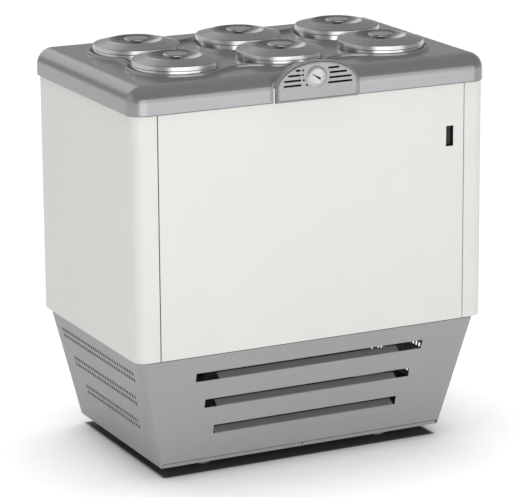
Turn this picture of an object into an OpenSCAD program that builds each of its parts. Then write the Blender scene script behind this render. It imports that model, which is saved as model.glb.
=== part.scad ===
// Ice cream counter with six round wells under lift-off lids, on castors.
// Origin: middle of the floor footprint. +Z is up and the front faces -Y. Millimetres.

/* [Body] */
// Width over the two side panels
body_w = 1014; // [980:1:1080]
// Depth from the front panel to the rear panel
body_d = 616; // [600:1:660]
// Height of the painted panels
body_h = 643; // [600:1:700]
// Sheet thickness of the painted panels
panel_t = 1.2; // [0.8:0.1:2]
// Outer radius where a side panel turns on to the front
corner_r = 34; // [20:1:45]
// Distance from the side to the seam on the front
seam_in = 64; // [55:1:90]
// Width of the open seam
seam_gap = 2.4; // [1.5:0.1:3.5]
// Width of the flanges turned in at the bottom of the panels
panel_flange = 30; // [20:1:40]
// Width of the edges turned in beside a seam
seam_return = 12; // [8:1:16]

/* [Finger pull] */
// Width of the pull's opening
pull_w = 22; // [18:1:30]
// Height of the pull's opening
pull_h = 55; // [45:1:75]
// Depth of the pull behind the panel
pull_depth = 18; // [12:1:22]
// Distance from the seam to the middle of the pull
pull_in = 44; // [38:1:60]
// Height of the pull's middle above the panel's bottom edge
pull_z = 502.5; // [420:0.5:540]

/* [Base] */
// Height of the tapered base
base_h = 315; // [300:1:340]
// Gap between the floor and the base
floor_gap = 28; // [22:1:36]
// Step in from the body at the base's top, front
base_front_top = 10.6; // [6:0.1:16]
// Step in from the body at the base's bottom, front
base_front_bottom = 75.8; // [66:0.1:82]
// Step in from the body at the base's top, each side
base_side_top = 12.3; // [8:0.1:18]
// Step in from the body at the base's bottom, each side
base_side_bottom = 95.5; // [84:0.1:100]
// Step in from the body at the base's rear
base_rear_in = 7; // [5:0.1:12]
// Radius of the base's front corners at the top
base_corner_top = 33; // [20:1:40]
// Radius of the base's front corners at the bottom
base_corner_bottom = 3; // [2:0.5:10]
// Sheet thickness of the base
base_t = 1.5; // [1:0.1:2.5]
// Height of the set-back lip along the base's front bottom edge
lip_h = 12; // [8:0.5:16]
// Distance that the lip is set back
lip_back = 2.5; // [2:0.1:5]
// Radius of the screw hole in the lip
lip_hole_r = 2.6; // [2:0.1:4]
// Width that the front sheet runs round on to each side
base_wrap = 46; // [44:1:56]

/* [Front louvres] */
// Height of a louvre slot
slot_h = 25; // [20:0.5:30]
// Distance from one slot to the next
slot_pitch = 78.5; // [70:0.5:84]
// Depth of the first slot's middle below the base's top
slot_first = 65; // [55:0.5:72]
// Half of the first slot's length
slot_half = 333.5; // [300:0.5:350]
// How much shorter each next slot is, each end
slot_step = 31.5; // [25:0.5:35]
// Length of a louvre blade
blade_l = 530; // [480:1:538]
// How far a blade reaches back
blade_back = 18; // [12:0.5:24]
// How far a blade rises
blade_rise = 11; // [8:0.5:16]
// Thickness of a blade
blade_t = 1; // [0.8:0.1:2]

/* [Air holes] */
// Distance from one hole to the next in a row
hole_pitch = 16; // [14:0.5:18]
// Width of a hole
hole_w = 9; // [6:0.5:10]
// Height of a hole
hole_h = 11; // [8:0.5:12]
// Distance between the two rows of a group
row_pitch = 18; // [15:0.5:20]
// Distance from one group of rows to the next
group_pitch = 75; // [65:1:80]
// Depth of the first group's middle below the base's top
group_first = 60.5; // [50:0.5:66]
// Holes in a row of the sides' first group
side_holes = 30; // [26:1:32]
// Holes in a row of the rear's first group
rear_holes = 44; // [36:1:48]
// Holes that each next group has fewer
fewer_holes = 4; // [3:1:5]
// Distance that the side rows' middle lies behind the body's middle
side_rows_back = 20; // [10:1:26]

/* [Worktop] */
// Overhang of the worktop past the panels
top_overhang = 5.5; // [3:0.5:10]
// Height of the worktop's flat surface above the panels
top_h = 72; // [64:1:84]
// Radius of the worktop's rounded upper edge at its front and sides
top_edge_r = 43; // [34:0.5:44]
// Radius of the worktop's front corners in plan
top_corner_r = 45; // [45:1:60]
// Wall thickness of the worktop moulding
top_t = 4; // [3:0.5:6]
// Height of the ridge round the lids
ridge_h = 8; // [5:0.5:10]
// Distance from a lid's edge to the ridge's crest
ridge_out = 10.8; // [9:0.1:13]
// Radius of the ridge's crest
crest_r = 7; // [5.5:0.1:7.5]
// Radius of the fillet at the ridge's outer foot
foot_r = 14; // [8:0.5:18]
// Radius of the ridge's bend between the lids of one row
wave_r = 105; // [90:1:150]
// Radius of the ridge's bend between the two rows
tuck_r = 85; // [70:1:110]

/* [Wells and lids] */
// Diameter of a lid
lid_d = 232.4; // [224:0.2:236]
// Distance between the wells of one row
pitch_x = 299.3; // [292:0.1:304]
// Distance between the two rows
pitch_y = 247.3; // [244:0.1:252]
// Distance from the body's front to the front row
row_in = 200.8; // [192:0.1:208]
// Bore of a well
well_bore = 208; // [196:1:210]
// Wall thickness of a well
well_t = 1; // [0.8:0.1:1.5]
// Depth of a well below its collar
well_depth = 500; // [440:5:520]
// Height of the well's collar above the worktop
collar_h = 12.3; // [8:0.1:14]
// Distance from a lid's edge to its collar's edge
collar_in = 0.8; // [0.5:0.1:3]
// Height of the seal on the collar
seal_h = 3; // [2:0.1:4]
// Width of the seal
seal_w = 5; // [3:0.5:6]
// Height of a lid's rim
lid_rim_h = 8.9; // [7:0.1:12]
// Radius of a lid's rounded upper edge
lid_edge_r = 2.5; // [1.5:0.1:3.5]
// Rise of a lid's top from its rim to its dish
lid_rise = 11; // [8:0.5:14]
// Diameter of the dish in a lid
dish_d = 142; // [130:1:160]
// Depth of the dish
dish_depth = 20; // [14:0.5:22]
// Diameter of the dish's flat bottom
dish_flat_d = 70; // [60:1:80]
// Depth of the lid's plug below its rim
plug_h = 27; // [22:1:36]
// Gap between the plug and the well
plug_gap = 3; // [2:0.5:5]
// Diameter of a lid's knob
knob_d = 66; // [58:1:74]
// Thickness of the knob's disc
knob_t = 7; // [5:0.5:9]
// Height of the knob's top above the lid's edge
knob_up = 14; // [11:0.5:17]
// Diameter of the knob's stem
stem_d = 26; // [18:1:34]

/* [Thermometer] */
// Half of the plate's width
plate_half = 115; // [104:1:118]
// Height of the plate's straight sides
plate_side = 32; // [24:1:40]
// Height of the plate's arch above its straight sides
plate_arch = 67; // [60:1:70]
// Thickness of the plate
plate_t = 2.5; // [2:0.1:4]
// Distance from the worktop's edge to the plate's face
plate_proud = 12.5; // [10:0.5:18]
// Width that the moulding shows round the plate
plate_margin = 3; // [2:0.5:5]
// Flare of the moulding from the plate back to the worktop
plate_flare = 9; // [5:0.5:12]
// Height of the dial's middle above the worktop's underside
dial_z = 59.5; // [56:0.5:62]
// Distance of the dial's middle to the left of the plate's middle
dial_off = 4.5; // [0:0.5:7]
// Radius of the dial
dial_r = 21.5; // [18:0.5:24]
// Outer radius of the bezel
bezel_r = 29; // [27:0.5:31]
// Distance that the bezel stands out of the plate
bezel_proud = 4; // [3:0.5:6]
// Depth of the dial behind the plate's face
dial_back = 5; // [4:0.5:7]
// Height of a slot in the plate
vent_h = 4.4; // [3:0.1:5]
// Distance from one plate slot to the next
vent_pitch = 12.7; // [11:0.1:13.5]
// Height of the lowest plate slot above the worktop's underside
vent_z = 42; // [38:0.5:46]
// Angle of the needle at rest, anticlockwise from straight up as seen from the front
needle_rest = 60; // [-120:1:120]

/* [Castors] */
// Diameter of a castor wheel
wheel_d = 75; // [60:1:78]
// Width of a castor wheel
wheel_w = 24; // [18:1:28]
// Height from the floor to the castor's mounting face
castor_h = 104; // [102:1:112]
// Distance from the swivel axis to the wheel's axle
trail = 22; // [16:1:26]
// Distance from the cabinet's middle to a castor
castor_x = 240; // [210:1:262]
// Distance from the body's front to the front castors
castor_front = 145; // [143:1:160]
// Distance from the body's front to the rear castors
castor_rear = 528; // [505:1:530]
// Radius of the castor's king pin
king_r = 6; // [5:0.5:7]
// Radius of the castor's axle
axle_r = 4; // [3:0.5:5]

/* [Machine] */
// Thickness of the deck
deck_t = 2; // [1.5:0.1:3]
// Radius of the compressor's housing
comp_r = 88; // [75:1:95]
// Height of the compressor's housing
comp_h = 185; // [160:1:210]
// Width of the condenser
cond_w = 300; // [250:1:320]
// Height of the condenser
cond_h = 200; // [185:1:220]
// Thickness of the condenser
cond_t = 55; // [44:1:66]
// Radius of the fan's tips
fan_r = 84; // [70:1:88]
// Number of fan blades
fan_blades = 5; // [4:1:7]
// Radius of the fan motor
motor_r = 32; // [26:1:38]
// Length of the fan motor
motor_l = 56; // [44:1:66]
// Radius of the copper pipes
pipe_r = 4; // [3:0.5:6]

/* [Hidden] */

$fn = 64;
fit = 0.3;        // gap between pieces that lie against each other or move past each other
running = 0.05;   // radial clearance of a pin that turns in a bore
over = 1;         // how far a cutter runs past the face that it cuts

// Levels and planes that the assemblies share
base_top = floor_gap + base_h;
body_top = base_top + body_h;
flat_z = body_top + top_h;
front_reach = top_overhang + plate_proud + bezel_proud;
front_y = (front_reach - body_d - top_overhang) / 2;
rear_y = front_y + body_d;
half_w = body_w / 2;
deck_top = castor_h + deck_t;

// Wells: centres in order, front row first, left to right
row_y = [front_y + row_in, front_y + row_in + pitch_y];
well_at = [for (row = [0:1], col = [-1:1]) [col * pitch_x, row_y[row]]];
well_r = well_bore / 2 + well_t;
lid_r = lid_d / 2;
collar_r = lid_r - collar_in;
seal_z = flat_z + collar_h;
lid_z = seal_z + seal_h + fit;
well_floor = seal_z - well_depth;
jacket_t = 4.7;
jacket_r = well_r + fit + jacket_t;
foam_under = 42;
foam_z = well_floor - foam_under;
dish_z = lid_z + lid_rim_h + lid_rise - dish_depth;
knob_top = lid_z + lid_rim_h + knob_up;

// Thermometer
plate_y = front_y - top_overhang - plate_proud;
plate_z = body_top;
dial_y = plate_y + dial_back;
dial_at = [-dial_off, body_top + dial_z];
case_r = dial_r + 3;
case_l = 20;
case_wall = 1.2;
dial_t = 1;
needle_t = 0.8;
needle_pin_r = 1.5;
glass_t = 2;
glass_y = plate_y - glass_t;

// Castors: swivel positions in order, front left first, and the side their wheel trails to
castor_at = [for (y = [castor_front, castor_rear], side = [-1, 1]) [side * castor_x, front_y + y, side]];
axle_z = wheel_d / 2;
crown_t = 3;
plate_thick = 3;
crown_z = wheel_d + 8;
fork_gap = 1.5;
fork_t = 2.5;
fork_half = wheel_w / 2 + fork_gap;

// Taper of the base: fraction of the way down, and the outline there
function down(z) = (base_top - z) / base_h;
function side_x(z) = half_w - base_side_top - (base_side_bottom - base_side_top) * down(z);
function face_y(z) = front_y + base_front_top + (base_front_bottom - base_front_top) * down(z);
function corner_at(z) = base_corner_top + (base_corner_bottom - base_corner_top) * down(z);
base_rear_y = rear_y - base_rear_in;
front_lean = atan((base_front_bottom - base_front_top) / base_h);
side_lean = atan((base_side_bottom - base_side_top) / base_h);
side_slope_l = base_h / cos(side_lean);

// Colours
white_paint = [0.89, 0.90, 0.88];
grey_paint = [0.62, 0.62, 0.62];
grey_moulding = [0.47, 0.47, 0.49];
stainless = [0.78, 0.79, 0.80];
black_rubber = [0.12, 0.12, 0.12];
copper = [0.72, 0.43, 0.26];

// Rectangle with its own front and rear corner radii, lower left corner at the origin
module round_rect(w, d, front, rear) {
    difference() {
        square([w, d]);
        for (x = [0, w]) {
            corner_cut(x, 0, front, x == 0 ? 1 : -1, 1);
            corner_cut(x, d, rear, x == 0 ? 1 : -1, -1);
        }
    }
}

module corner_cut(x, y, r, sx, sy) {
    if (r > 0)
        translate([x, y]) difference() {
            translate([sx > 0 ? -over : -r, sy > 0 ? -over : -r]) square(r + over);
            translate([sx * r, sy * r]) circle(r);
        }
}

// Plan of the body's panels, shrunk inwards by a distance
module body_plan(inside) {
    translate([-half_w + inside, front_y + inside])
        round_rect(body_w - 2 * inside, body_d - 2 * inside, corner_r - inside, 0);
}

// Ring in plan between two distances inside the body's outline
module body_ring(outside, inside) {
    difference() {
        body_plan(outside);
        body_plan(inside);
    }
}

// Zone of the plan that belongs to the left side panel
module left_zone() {
    translate([-half_w - over, front_y - over]) square([seam_in + over, body_d / 2 + over]);
    translate([-half_w - over, front_y]) square([panel_flange + over, body_d + over]);
}

// One side panel: face, front corner, edge turned in at the seam and bottom flange
module side_panel(side) {
    mirror([side > 0 ? 1 : 0, 0, 0]) {
        translate([0, 0, base_top]) linear_extrude(body_h) intersection() {
            body_ring(0, panel_t);
            left_zone();
        }
        translate([-half_w + seam_in - panel_t, front_y, base_top]) cube([panel_t, seam_return, body_h]);
        translate([0, 0, base_top]) linear_extrude(panel_t) intersection() {
            body_ring(0, panel_flange);
            left_zone();
        }
    }
}

module side_panel_left() { color(white_paint) side_panel(-1); }
module side_panel_right() { color(white_paint) side_panel(1); }

front_half = half_w - seam_in - seam_gap;
pull_at = [half_w - seam_in - pull_in, base_top + pull_z];

module front_panel() {
    color(white_paint) difference() {
        union() {
            translate([-front_half, front_y, base_top]) cube([2 * front_half, panel_t, body_h]);
            for (side = [-1, 1])
                translate([side * (front_half - panel_t / 2) - panel_t / 2, front_y, base_top])
                    cube([panel_t, seam_return, body_h]);
            translate([-front_half, front_y, base_top]) cube([2 * front_half, panel_flange, panel_t]);
        }
        translate([pull_at[0] - pull_w / 2, front_y - over, pull_at[1] - pull_h / 2])
            cube([pull_w, panel_t + 2 * over, pull_h]);
    }
}

pull_wall = 1.2;
pull_rim = 5;

// Cup behind the front panel that fingers reach into
module finger_pull() {
    color(black_rubber) translate([pull_at[0], front_y + panel_t, pull_at[1]]) difference() {
        union() {
            translate([-pull_w / 2 - pull_wall, 0, -pull_h / 2 - pull_wall])
                cube([pull_w + 2 * pull_wall, pull_depth, pull_h + 2 * pull_wall]);
            translate([-pull_w / 2 - pull_rim, 0, -pull_h / 2 - pull_rim])
                cube([pull_w + 2 * pull_rim, pull_wall, pull_h + 2 * pull_rim]);
        }
        translate([-pull_w / 2, -over, -pull_h / 2]) cube([pull_w, pull_depth - pull_wall + over, pull_h]);
    }
}

module rear_panel() {
    rear_half = half_w - panel_flange - fit;
    color(white_paint) {
        translate([-rear_half, rear_y - panel_t, base_top]) cube([2 * rear_half, panel_t, body_h]);
        translate([-rear_half, rear_y - panel_flange, base_top]) cube([2 * rear_half, panel_flange, panel_t]);
    }
}

// Four angle posts that carry the insulated tank on the deck
post_w = 30;
post_t = 3;
post_in = 14;

module angle_post(sx, sy) {
    mirror([sx < 0 ? 1 : 0, 0, 0]) mirror([0, sy < 0 ? 1 : 0, 0]) {
        translate([-post_w, -post_t, 0]) cube([post_w, post_t, foam_z - deck_top]);
        translate([-post_t, -post_w, 0]) cube([post_t, post_w, foam_z - deck_top]);
    }
}

// The rear posts stand just inside the rear panel's flange
post_rear_y = rear_y - panel_flange - fit;

module uprights() {
    post_x = side_x(deck_top) - base_t - post_in;
    color(grey_paint) for (sx = [-1, 1], end = [-1, 1])
        translate([sx * post_x, end < 0 ? face_y(deck_top) + base_t + post_in : post_rear_y, deck_top])
            angle_post(sx, end);
}

// Half section of the worktop's edge: straight skirt under a quarter round
module edge_section(reach, height, edge) {
    square([reach - edge, height]);
    square([reach, height - edge]);
    translate([reach - edge, height - edge]) intersection() {
        circle(edge);
        square(edge);
    }
}

// Slab cut square at its rear, with rounded front corners in plan and a quarter round
// along its front and side edges
module crowned_slab(w, d, height, corner, edge) {
    for (side = [-1, 1])
        translate([side * (w / 2 - corner), corner - d / 2, 0])
            rotate_extrude() edge_section(corner, height, edge);
    rotate([90, 0, 0]) translate([0, 0, -d / 2])
        linear_extrude(d - corner) edge_section(w / 2, height, edge);
    rotate([90, 0, 180]) translate([0, 0, corner - d / 2])
        linear_extrude(d - corner) edge_section(w / 2, height, edge);
    rotate([90, 0, -90]) translate([0, 0, corner - w / 2])
        linear_extrude(w - 2 * corner) edge_section(d / 2, height, edge);
}

// Section of the ridge against the distance from its crest, outer foot on the right:
// an arc over the crest, then the fillet that runs out on to the flat
ridge_rise = ridge_h - crest_r;
ridge_foot = sqrt(pow(crest_r + foot_r, 2) - pow(foot_r - ridge_rise, 2));
ridge_meet = atan2(foot_r - ridge_rise, ridge_foot);
ridge_section = concat(
    [[-crest_r, -over]],
    [for (a = [165, 127, 90, 58, ridge_meet]) [crest_r * cos(a), ridge_rise + crest_r * sin(a)]],
    [for (a = [ridge_meet * 0.5 + 45]) [ridge_foot - foot_r * cos(a), foot_r - foot_r * sin(a)]],
    [[ridge_foot + over, -over]]);

ridge_r = lid_r + ridge_out;

// Lids in order round the outside, with the bend radius between each and the next
ring_order = [0, 1, 2, 5, 4, 3];
ring_bend = [wave_r, wave_r, tuck_r, wave_r, wave_r, tuck_r];
function ring_centre(i) = well_at[ring_order[(i + 6) % 6]];
function direction(v) = atan2(v[1], v[0]);
function turn_left(from, to) = (to - from + 720) % 360;
// Centre of the bend outside lid i and the next one
function bend_centre(i) =
    let (a = ring_centre(i), b = ring_centre(i + 1), along = b - a, half = norm(along) / 2,
         reach = sqrt(pow(ridge_r + ring_bend[i % 6], 2) - half * half))
    (a + b) / 2 + reach * [along[1], -along[0]] / norm(along);

// Stations along the ridge's crest: point, then the direction that faces away from the lids
ridge_step = 12;
function arc_stations(centre, radius, from, sweep, outward) =
    let (n = ceil(abs(sweep) / ridge_step))
    [for (k = [0:n - 1]) let (a = from + sweep * k / n, d = [cos(a), sin(a)])
        [centre + radius * d, outward * d]];
function lid_stations(i) =
    let (centre = ring_centre(i), from = direction(bend_centre(i + 5) - centre),
         to = direction(bend_centre(i) - centre))
    arc_stations(centre, ridge_r, from, turn_left(from, to), 1);
function bend_stations(i) =
    let (bend = bend_centre(i), from = direction(ring_centre(i) - bend),
         to = direction(ring_centre(i + 1) - bend))
    arc_stations(bend, ring_bend[i], from, -turn_left(to, from), -1);
ridge_path = [for (i = [0:5]) each concat(lid_stations(i), bend_stations(i))];

// Ridge: the section carried along an arc round each lid and the bends between them
module ridge() {
    n = len(ridge_path);
    m = len(ridge_section);
    points = [for (at = ridge_path, q = ridge_section) let (p = at[0] + q[0] * at[1]) [p[0], p[1], flat_z + q[1]]];
    faces = [for (k = [0:n - 1], j = [0:m - 1])
        let (a = k * m, b = ((k + 1) % n) * m, next = (j + 1) % m)
        each [[a + j, b + j, b + next], [a + j, b + next, a + next]]];
    polyhedron(points, faces);
}

// Arch of the thermometer plate, grown outwards by a distance
module arch(grow) {
    half = plate_half + grow;
    rise = plate_arch + grow;
    steps = 32;
    polygon(concat([[half, -grow], [-half, -grow]],
        [for (i = [0:steps]) let (a = 180 - 180 * i / steps)
            [half * cos(a), plate_side + rise * pow(sin(a), 0.94)]]));
}

// Thin upright slice of the moulding round the plate
module moulding_slice(y, half, top) {
    steps = 20;
    translate([0, y, plate_z]) rotate([90, 0, 0]) linear_extrude(0.01)
        polygon(concat([[half, 0], [-half, 0]],
            [for (i = [0:steps]) let (a = 180 - 180 * i / steps)
                [half * cos(a), plate_side + (top - plate_side) * sin(a)]]));
}

moulding_top = plate_side + plate_arch + plate_margin;
moulding_back = row_y[0] - ridge_r;
moulding_end_half = 70;
top_w = body_w + 2 * top_overhang;
top_d = body_d + 2 * top_overhang;
top_mid = front_y + body_d / 2;

// Moulding behind the plate: flares back on to the skirt, then runs down to the ridge
module moulding() {
    hull() {
        moulding_slice(plate_y, plate_half + plate_margin, moulding_top);
        moulding_slice(front_y - top_overhang, plate_half + plate_margin + plate_flare, moulding_top);
        moulding_slice(moulding_back, moulding_end_half, top_h + ridge_h - 1);
    }
}

plate_pocket = 10;

module worktop() {
    color(grey_moulding) difference() {
        union() {
            difference() {
                translate([0, top_mid, body_top]) crowned_slab(top_w, top_d, top_h, top_corner_r, top_edge_r);
                translate([0, top_mid, body_top - over])
                    crowned_slab(top_w - 2 * top_t, top_d - 2 * top_t, top_h - top_t + over,
                                 top_corner_r - top_t, top_edge_r - top_t);
            }
            ridge();
            difference() {
                moulding();
                translate([0, top_mid, body_top - over])
                    crowned_slab(top_w - 2 * top_t, top_d - 2 * top_t, top_h - top_t + over,
                                 top_corner_r - top_t, top_edge_r - top_t);
            }
        }
        for (at = well_at)
            translate([at[0], at[1], body_top]) cylinder(h = top_h + over, r = well_r + fit);
        // Seat of the plate, and the pocket behind its slots
        translate([0, plate_y + plate_t, plate_z]) rotate([90, 0, 0])
            linear_extrude(plate_t + over) arch(fit);
        translate([0, plate_y + plate_t + plate_pocket, plate_z]) rotate([90, 0, 0])
            linear_extrude(plate_pocket + over) arch(-8);
        translate([dial_at[0], plate_y + case_l + fit, dial_at[1]]) rotate([90, 0, 0])
            cylinder(h = case_l + over, r = case_r + fit);
    }
}

// Foam block that fills the body from the tank's floor to the worktop
module insulation() {
    foam_side = panel_t + fit;
    color([0.90, 0.83, 0.62]) difference() {
        union() {
            translate([0, 0, foam_z]) linear_extrude(body_top - foam_z) difference() {
                body_plan(foam_side);
                for (side = [-1, 1])
                    translate([side * (front_half + seam_gap / 2) - seam_gap / 2 - panel_t - fit,
                               front_y])
                        square([seam_gap + 2 * (panel_t + fit), seam_return + fit]);
            }
            translate([0, top_mid, body_top])
                crowned_slab(top_w - 2 * (top_t + fit), top_d - 2 * (top_t + fit), top_h - top_t - fit,
                             top_corner_r - top_t - fit, top_edge_r - top_t - fit);
        }
        for (at = well_at)
            translate([at[0], at[1], well_floor - jacket_t - fit])
                cylinder(h = flat_z - well_floor + over + jacket_t, r = jacket_r + fit);
        translate([pull_at[0] - pull_w / 2 - pull_rim - fit, front_y - over, pull_at[1] - pull_h / 2 - pull_rim - fit])
            cube([pull_w + 2 * (pull_rim + fit), panel_t + pull_depth + fit + over, pull_h + 2 * (pull_rim + fit)]);
        translate([dial_at[0], plate_y + case_l + 2 * fit, dial_at[1]]) rotate([90, 0, 0])
            cylinder(h = case_l + plate_pocket, r = case_r + 2 * fit);
    }
}

// Well: drawn cup with a collar that stands on the worktop
module well(i) {
    color(stainless) translate([well_at[i][0], well_at[i][1], 0]) difference() {
        union() {
            translate([0, 0, well_floor - well_t]) cylinder(h = seal_z - well_floor + well_t, r = well_r);
            translate([0, 0, flat_z]) rotate_extrude() edge_section(collar_r, collar_h, lid_edge_r);
        }
        translate([0, 0, well_floor]) cylinder(h = well_depth + over, r = well_bore / 2);
    }
}

// Copper-clad sleeve round each well that chills it
module evaporator_jackets() {
    color(copper) for (at = well_at)
        translate([at[0], at[1], well_floor - well_t - fit - jacket_t + 1]) difference() {
            cylinder(h = flat_z - top_t - 2 * fit - well_floor + well_t + jacket_t - 1, r = jacket_r);
            translate([0, 0, jacket_t - 1]) cylinder(h = flat_z, r = well_r + fit);
        }
}

// Seal rings that lie on the collars, under the lids' rims
module rim_seals() {
    color(black_rubber) for (at = well_at)
        translate([at[0], at[1], seal_z]) difference() {
            cylinder(h = seal_h, r = collar_r - lid_edge_r);
            translate([0, 0, -over]) cylinder(h = seal_h + 2 * over, r = collar_r - lid_edge_r - seal_w);
        }
}

// Lid: rim, slightly coned top with a dish, and an insulated plug below
module lid(i) {
    plug_r = well_bore / 2 - plug_gap;
    crest_z = lid_rim_h + lid_rise;
    dish_r = dish_d / 2;
    flat_r = dish_flat_d / 2;
    bend = (pow(dish_r - flat_r, 2) + dish_depth * dish_depth) / (2 * dish_depth);
    color(stainless) translate([well_at[i][0], well_at[i][1], lid_z]) rotate_extrude() difference() {
        union() {
            translate([0, -plug_h]) square([plug_r, plug_h + over]);
            edge_section(lid_r, lid_rim_h, lid_edge_r);
            polygon([[0, 0], [lid_r - lid_edge_r, lid_rim_h], [dish_r, crest_z], [0, crest_z]]);
        }
        difference() {
            translate([0, crest_z - dish_depth]) square([dish_r, dish_depth + over]);
            difference() {
                translate([flat_r, crest_z - dish_depth - over]) square([dish_r, dish_depth + 2 * over]);
                translate([flat_r, crest_z - dish_depth + bend]) circle(bend);
                translate([0, crest_z]) square([dish_r + flat_r, over * 2]);
            }
        }
    }
}

// Knob: flat disc on a short stem that stands in the dish
module knob(i) {
    stem_h = knob_top - knob_t - dish_z;
    color(stainless) translate([well_at[i][0], well_at[i][1], dish_z]) rotate_extrude() {
        square([stem_d / 2, stem_h + over]);
        translate([0, stem_h]) square([knob_d / 2 - knob_t / 2, knob_t]);
        translate([knob_d / 2 - knob_t / 2, stem_h + knob_t / 2]) intersection() {
            circle(knob_t / 2);
            translate([0, -knob_t]) square(2 * knob_t);
        }
    }
}

// Slots on each side of the dial, ending short of the bezel and of the plate's rim
vent_rows = 4;
vent_margin = 13;
vent_clear = 9;

module vent_slots() {
    for (row = [0:vent_rows - 1], side = [-1, 1]) {
        z = vent_z + row * vent_pitch;
        arch_z = max(0, (z + vent_h / 2 + vent_margin - plate_side) / plate_arch);
        outer = min(plate_half - vent_margin, plate_half * sqrt(max(0, 1 - arch_z * arch_z)));
        clear = bezel_r + vent_clear;
        inner = sqrt(max(0, clear * clear - pow(z - dial_z, 2))) - side * dial_off;
        if (outer > inner + vent_h)
            translate([side > 0 ? inner : -outer, z - vent_h / 2]) {
                translate([vent_h / 2, 0]) square([outer - inner - vent_h, vent_h]);
                translate([vent_h / 2, vent_h / 2]) circle(vent_h / 2);
                translate([outer - inner - vent_h / 2, vent_h / 2]) circle(vent_h / 2);
            }
    }
}

plate_bead = 4;
bead_proud = 1;

module thermometer_plate() {
    color([0.74, 0.74, 0.75]) translate([0, plate_y, plate_z]) rotate([90, 0, 0]) {
        translate([0, 0, -plate_t]) linear_extrude(plate_t) difference() {
            arch(0);
            vent_slots();
            translate([-dial_off, dial_z]) circle(case_r + fit);
        }
        linear_extrude(bead_proud) difference() {
            arch(0);
            arch(-plate_bead);
        }
    }
}

// Round pieces of the thermometer are turned about the dial's axis, front towards -Y
module on_dial(y) {
    translate([dial_at[0], y, dial_at[1]]) rotate([90, 0, 0]) children();
}

module thermometer_case() {
    color([0.25, 0.25, 0.26]) difference() {
        on_dial(plate_y + case_l) cylinder(h = case_l, r = case_r);
        on_dial(dial_y + dial_t) cylinder(h = case_l, r = case_r - case_wall);
    }
    color([0.25, 0.25, 0.26]) on_dial(dial_y + dial_t + fit)
        cylinder(h = dial_t + fit + needle_t + fit, r = needle_pin_r - running);
}

module thermometer_dial() {
    color([0.96, 0.96, 0.95]) difference() {
        on_dial(dial_y + dial_t) cylinder(h = dial_t, r = case_r - case_wall - fit);
        on_dial(dial_y + dial_t + over) cylinder(h = dial_t + 2 * over, r = needle_pin_r + fit);
    }
}

needle_tip = 18;
needle_tail = 11;
needle_hub = 3;

module thermometer_needle() {
    color([0.10, 0.10, 0.10]) on_dial(dial_y - fit) difference() {
        rotate([0, 0, needle_rest]) linear_extrude(needle_t) {
            circle(needle_hub);
            polygon([[-1.1, -1], [1.1, -1], [0.3, needle_tip], [-0.3, needle_tip]]);
            translate([-1.4, -needle_tail]) square([2.8, needle_tail]);
        }
        translate([0, 0, -over]) cylinder(h = needle_t + 2 * over, r = needle_pin_r);
    }
}

module thermometer_glass() {
    color([0.85, 0.90, 0.92, 0.3]) on_dial(plate_y) cylinder(h = glass_t, r = case_r - case_wall);
}

// Ring that stands on the plate and holds the glass
module thermometer_bezel() {
    lap = 1;
    color(stainless) on_dial(plate_y) rotate_extrude() difference() {
        translate([dial_r, 0]) square([bezel_r - dial_r, bezel_proud]);
        translate([0, -over]) square([case_r - case_wall + fit, glass_t + fit + over]);
        translate([bezel_r, bezel_proud]) circle(bezel_proud - lap);
    }
}

// Points of the front sheet's path at one level, left end first, stepped in by a distance
function wrap_path(z, inside) =
    let (r = corner_at(z), x = side_x(z), y = face_y(z), steps = 8)
    concat(
        [[-x + inside, y + base_wrap]],
        [for (i = [0:steps]) let (a = 180 + 90 * i / steps) [-x + r, y + r] + (r - inside) * [cos(a), sin(a)]],
        [for (i = [0:steps]) let (a = 270 + 90 * i / steps) [x - r, y + r] + (r - inside) * [cos(a), sin(a)]],
        [[x - inside, y + base_wrap]]);

function at_level(points, z) = [for (p = points) [p[0], p[1], z]];

// Front sheet of the base, wrapped round both corners: rounded at the top, almost sharp below
module wrapped_sheet() {
    outer_low = wrap_path(floor_gap, 0);
    inner_low = wrap_path(floor_gap, base_t);
    n = len(outer_low);
    points = concat(at_level(outer_low, floor_gap), at_level(wrap_path(base_top, 0), base_top),
                    at_level(inner_low, floor_gap), at_level(wrap_path(base_top, base_t), base_top));
    faces = concat(
        [for (i = [0:n - 2]) [i, n + i, n + i + 1, i + 1]],
        [for (i = [0:n - 2]) [2 * n + i, 2 * n + i + 1, 3 * n + i + 1, 3 * n + i]],
        [for (i = [0:n - 2]) [n + i, 3 * n + i, 3 * n + i + 1, n + i + 1]],
        [for (i = [0:n - 2]) [i, i + 1, 2 * n + i + 1, 2 * n + i]],
        [[0, 2 * n, 3 * n, n], [n - 1, 2 * n - 1, 4 * n - 1, 3 * n - 1]]);
    polyhedron(points, faces);
}

// Places children in the front sheet's plane: x across, y up the slope, z out of the face
module on_front(z) {
    translate([0, face_y(z), z]) rotate([90 + front_lean, 0, 0]) children();
}

slots = 3;
function slot_z(i) = base_top - slot_first - i * slot_pitch;
function slot_reach(i) = slot_half - i * slot_step;

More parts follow.
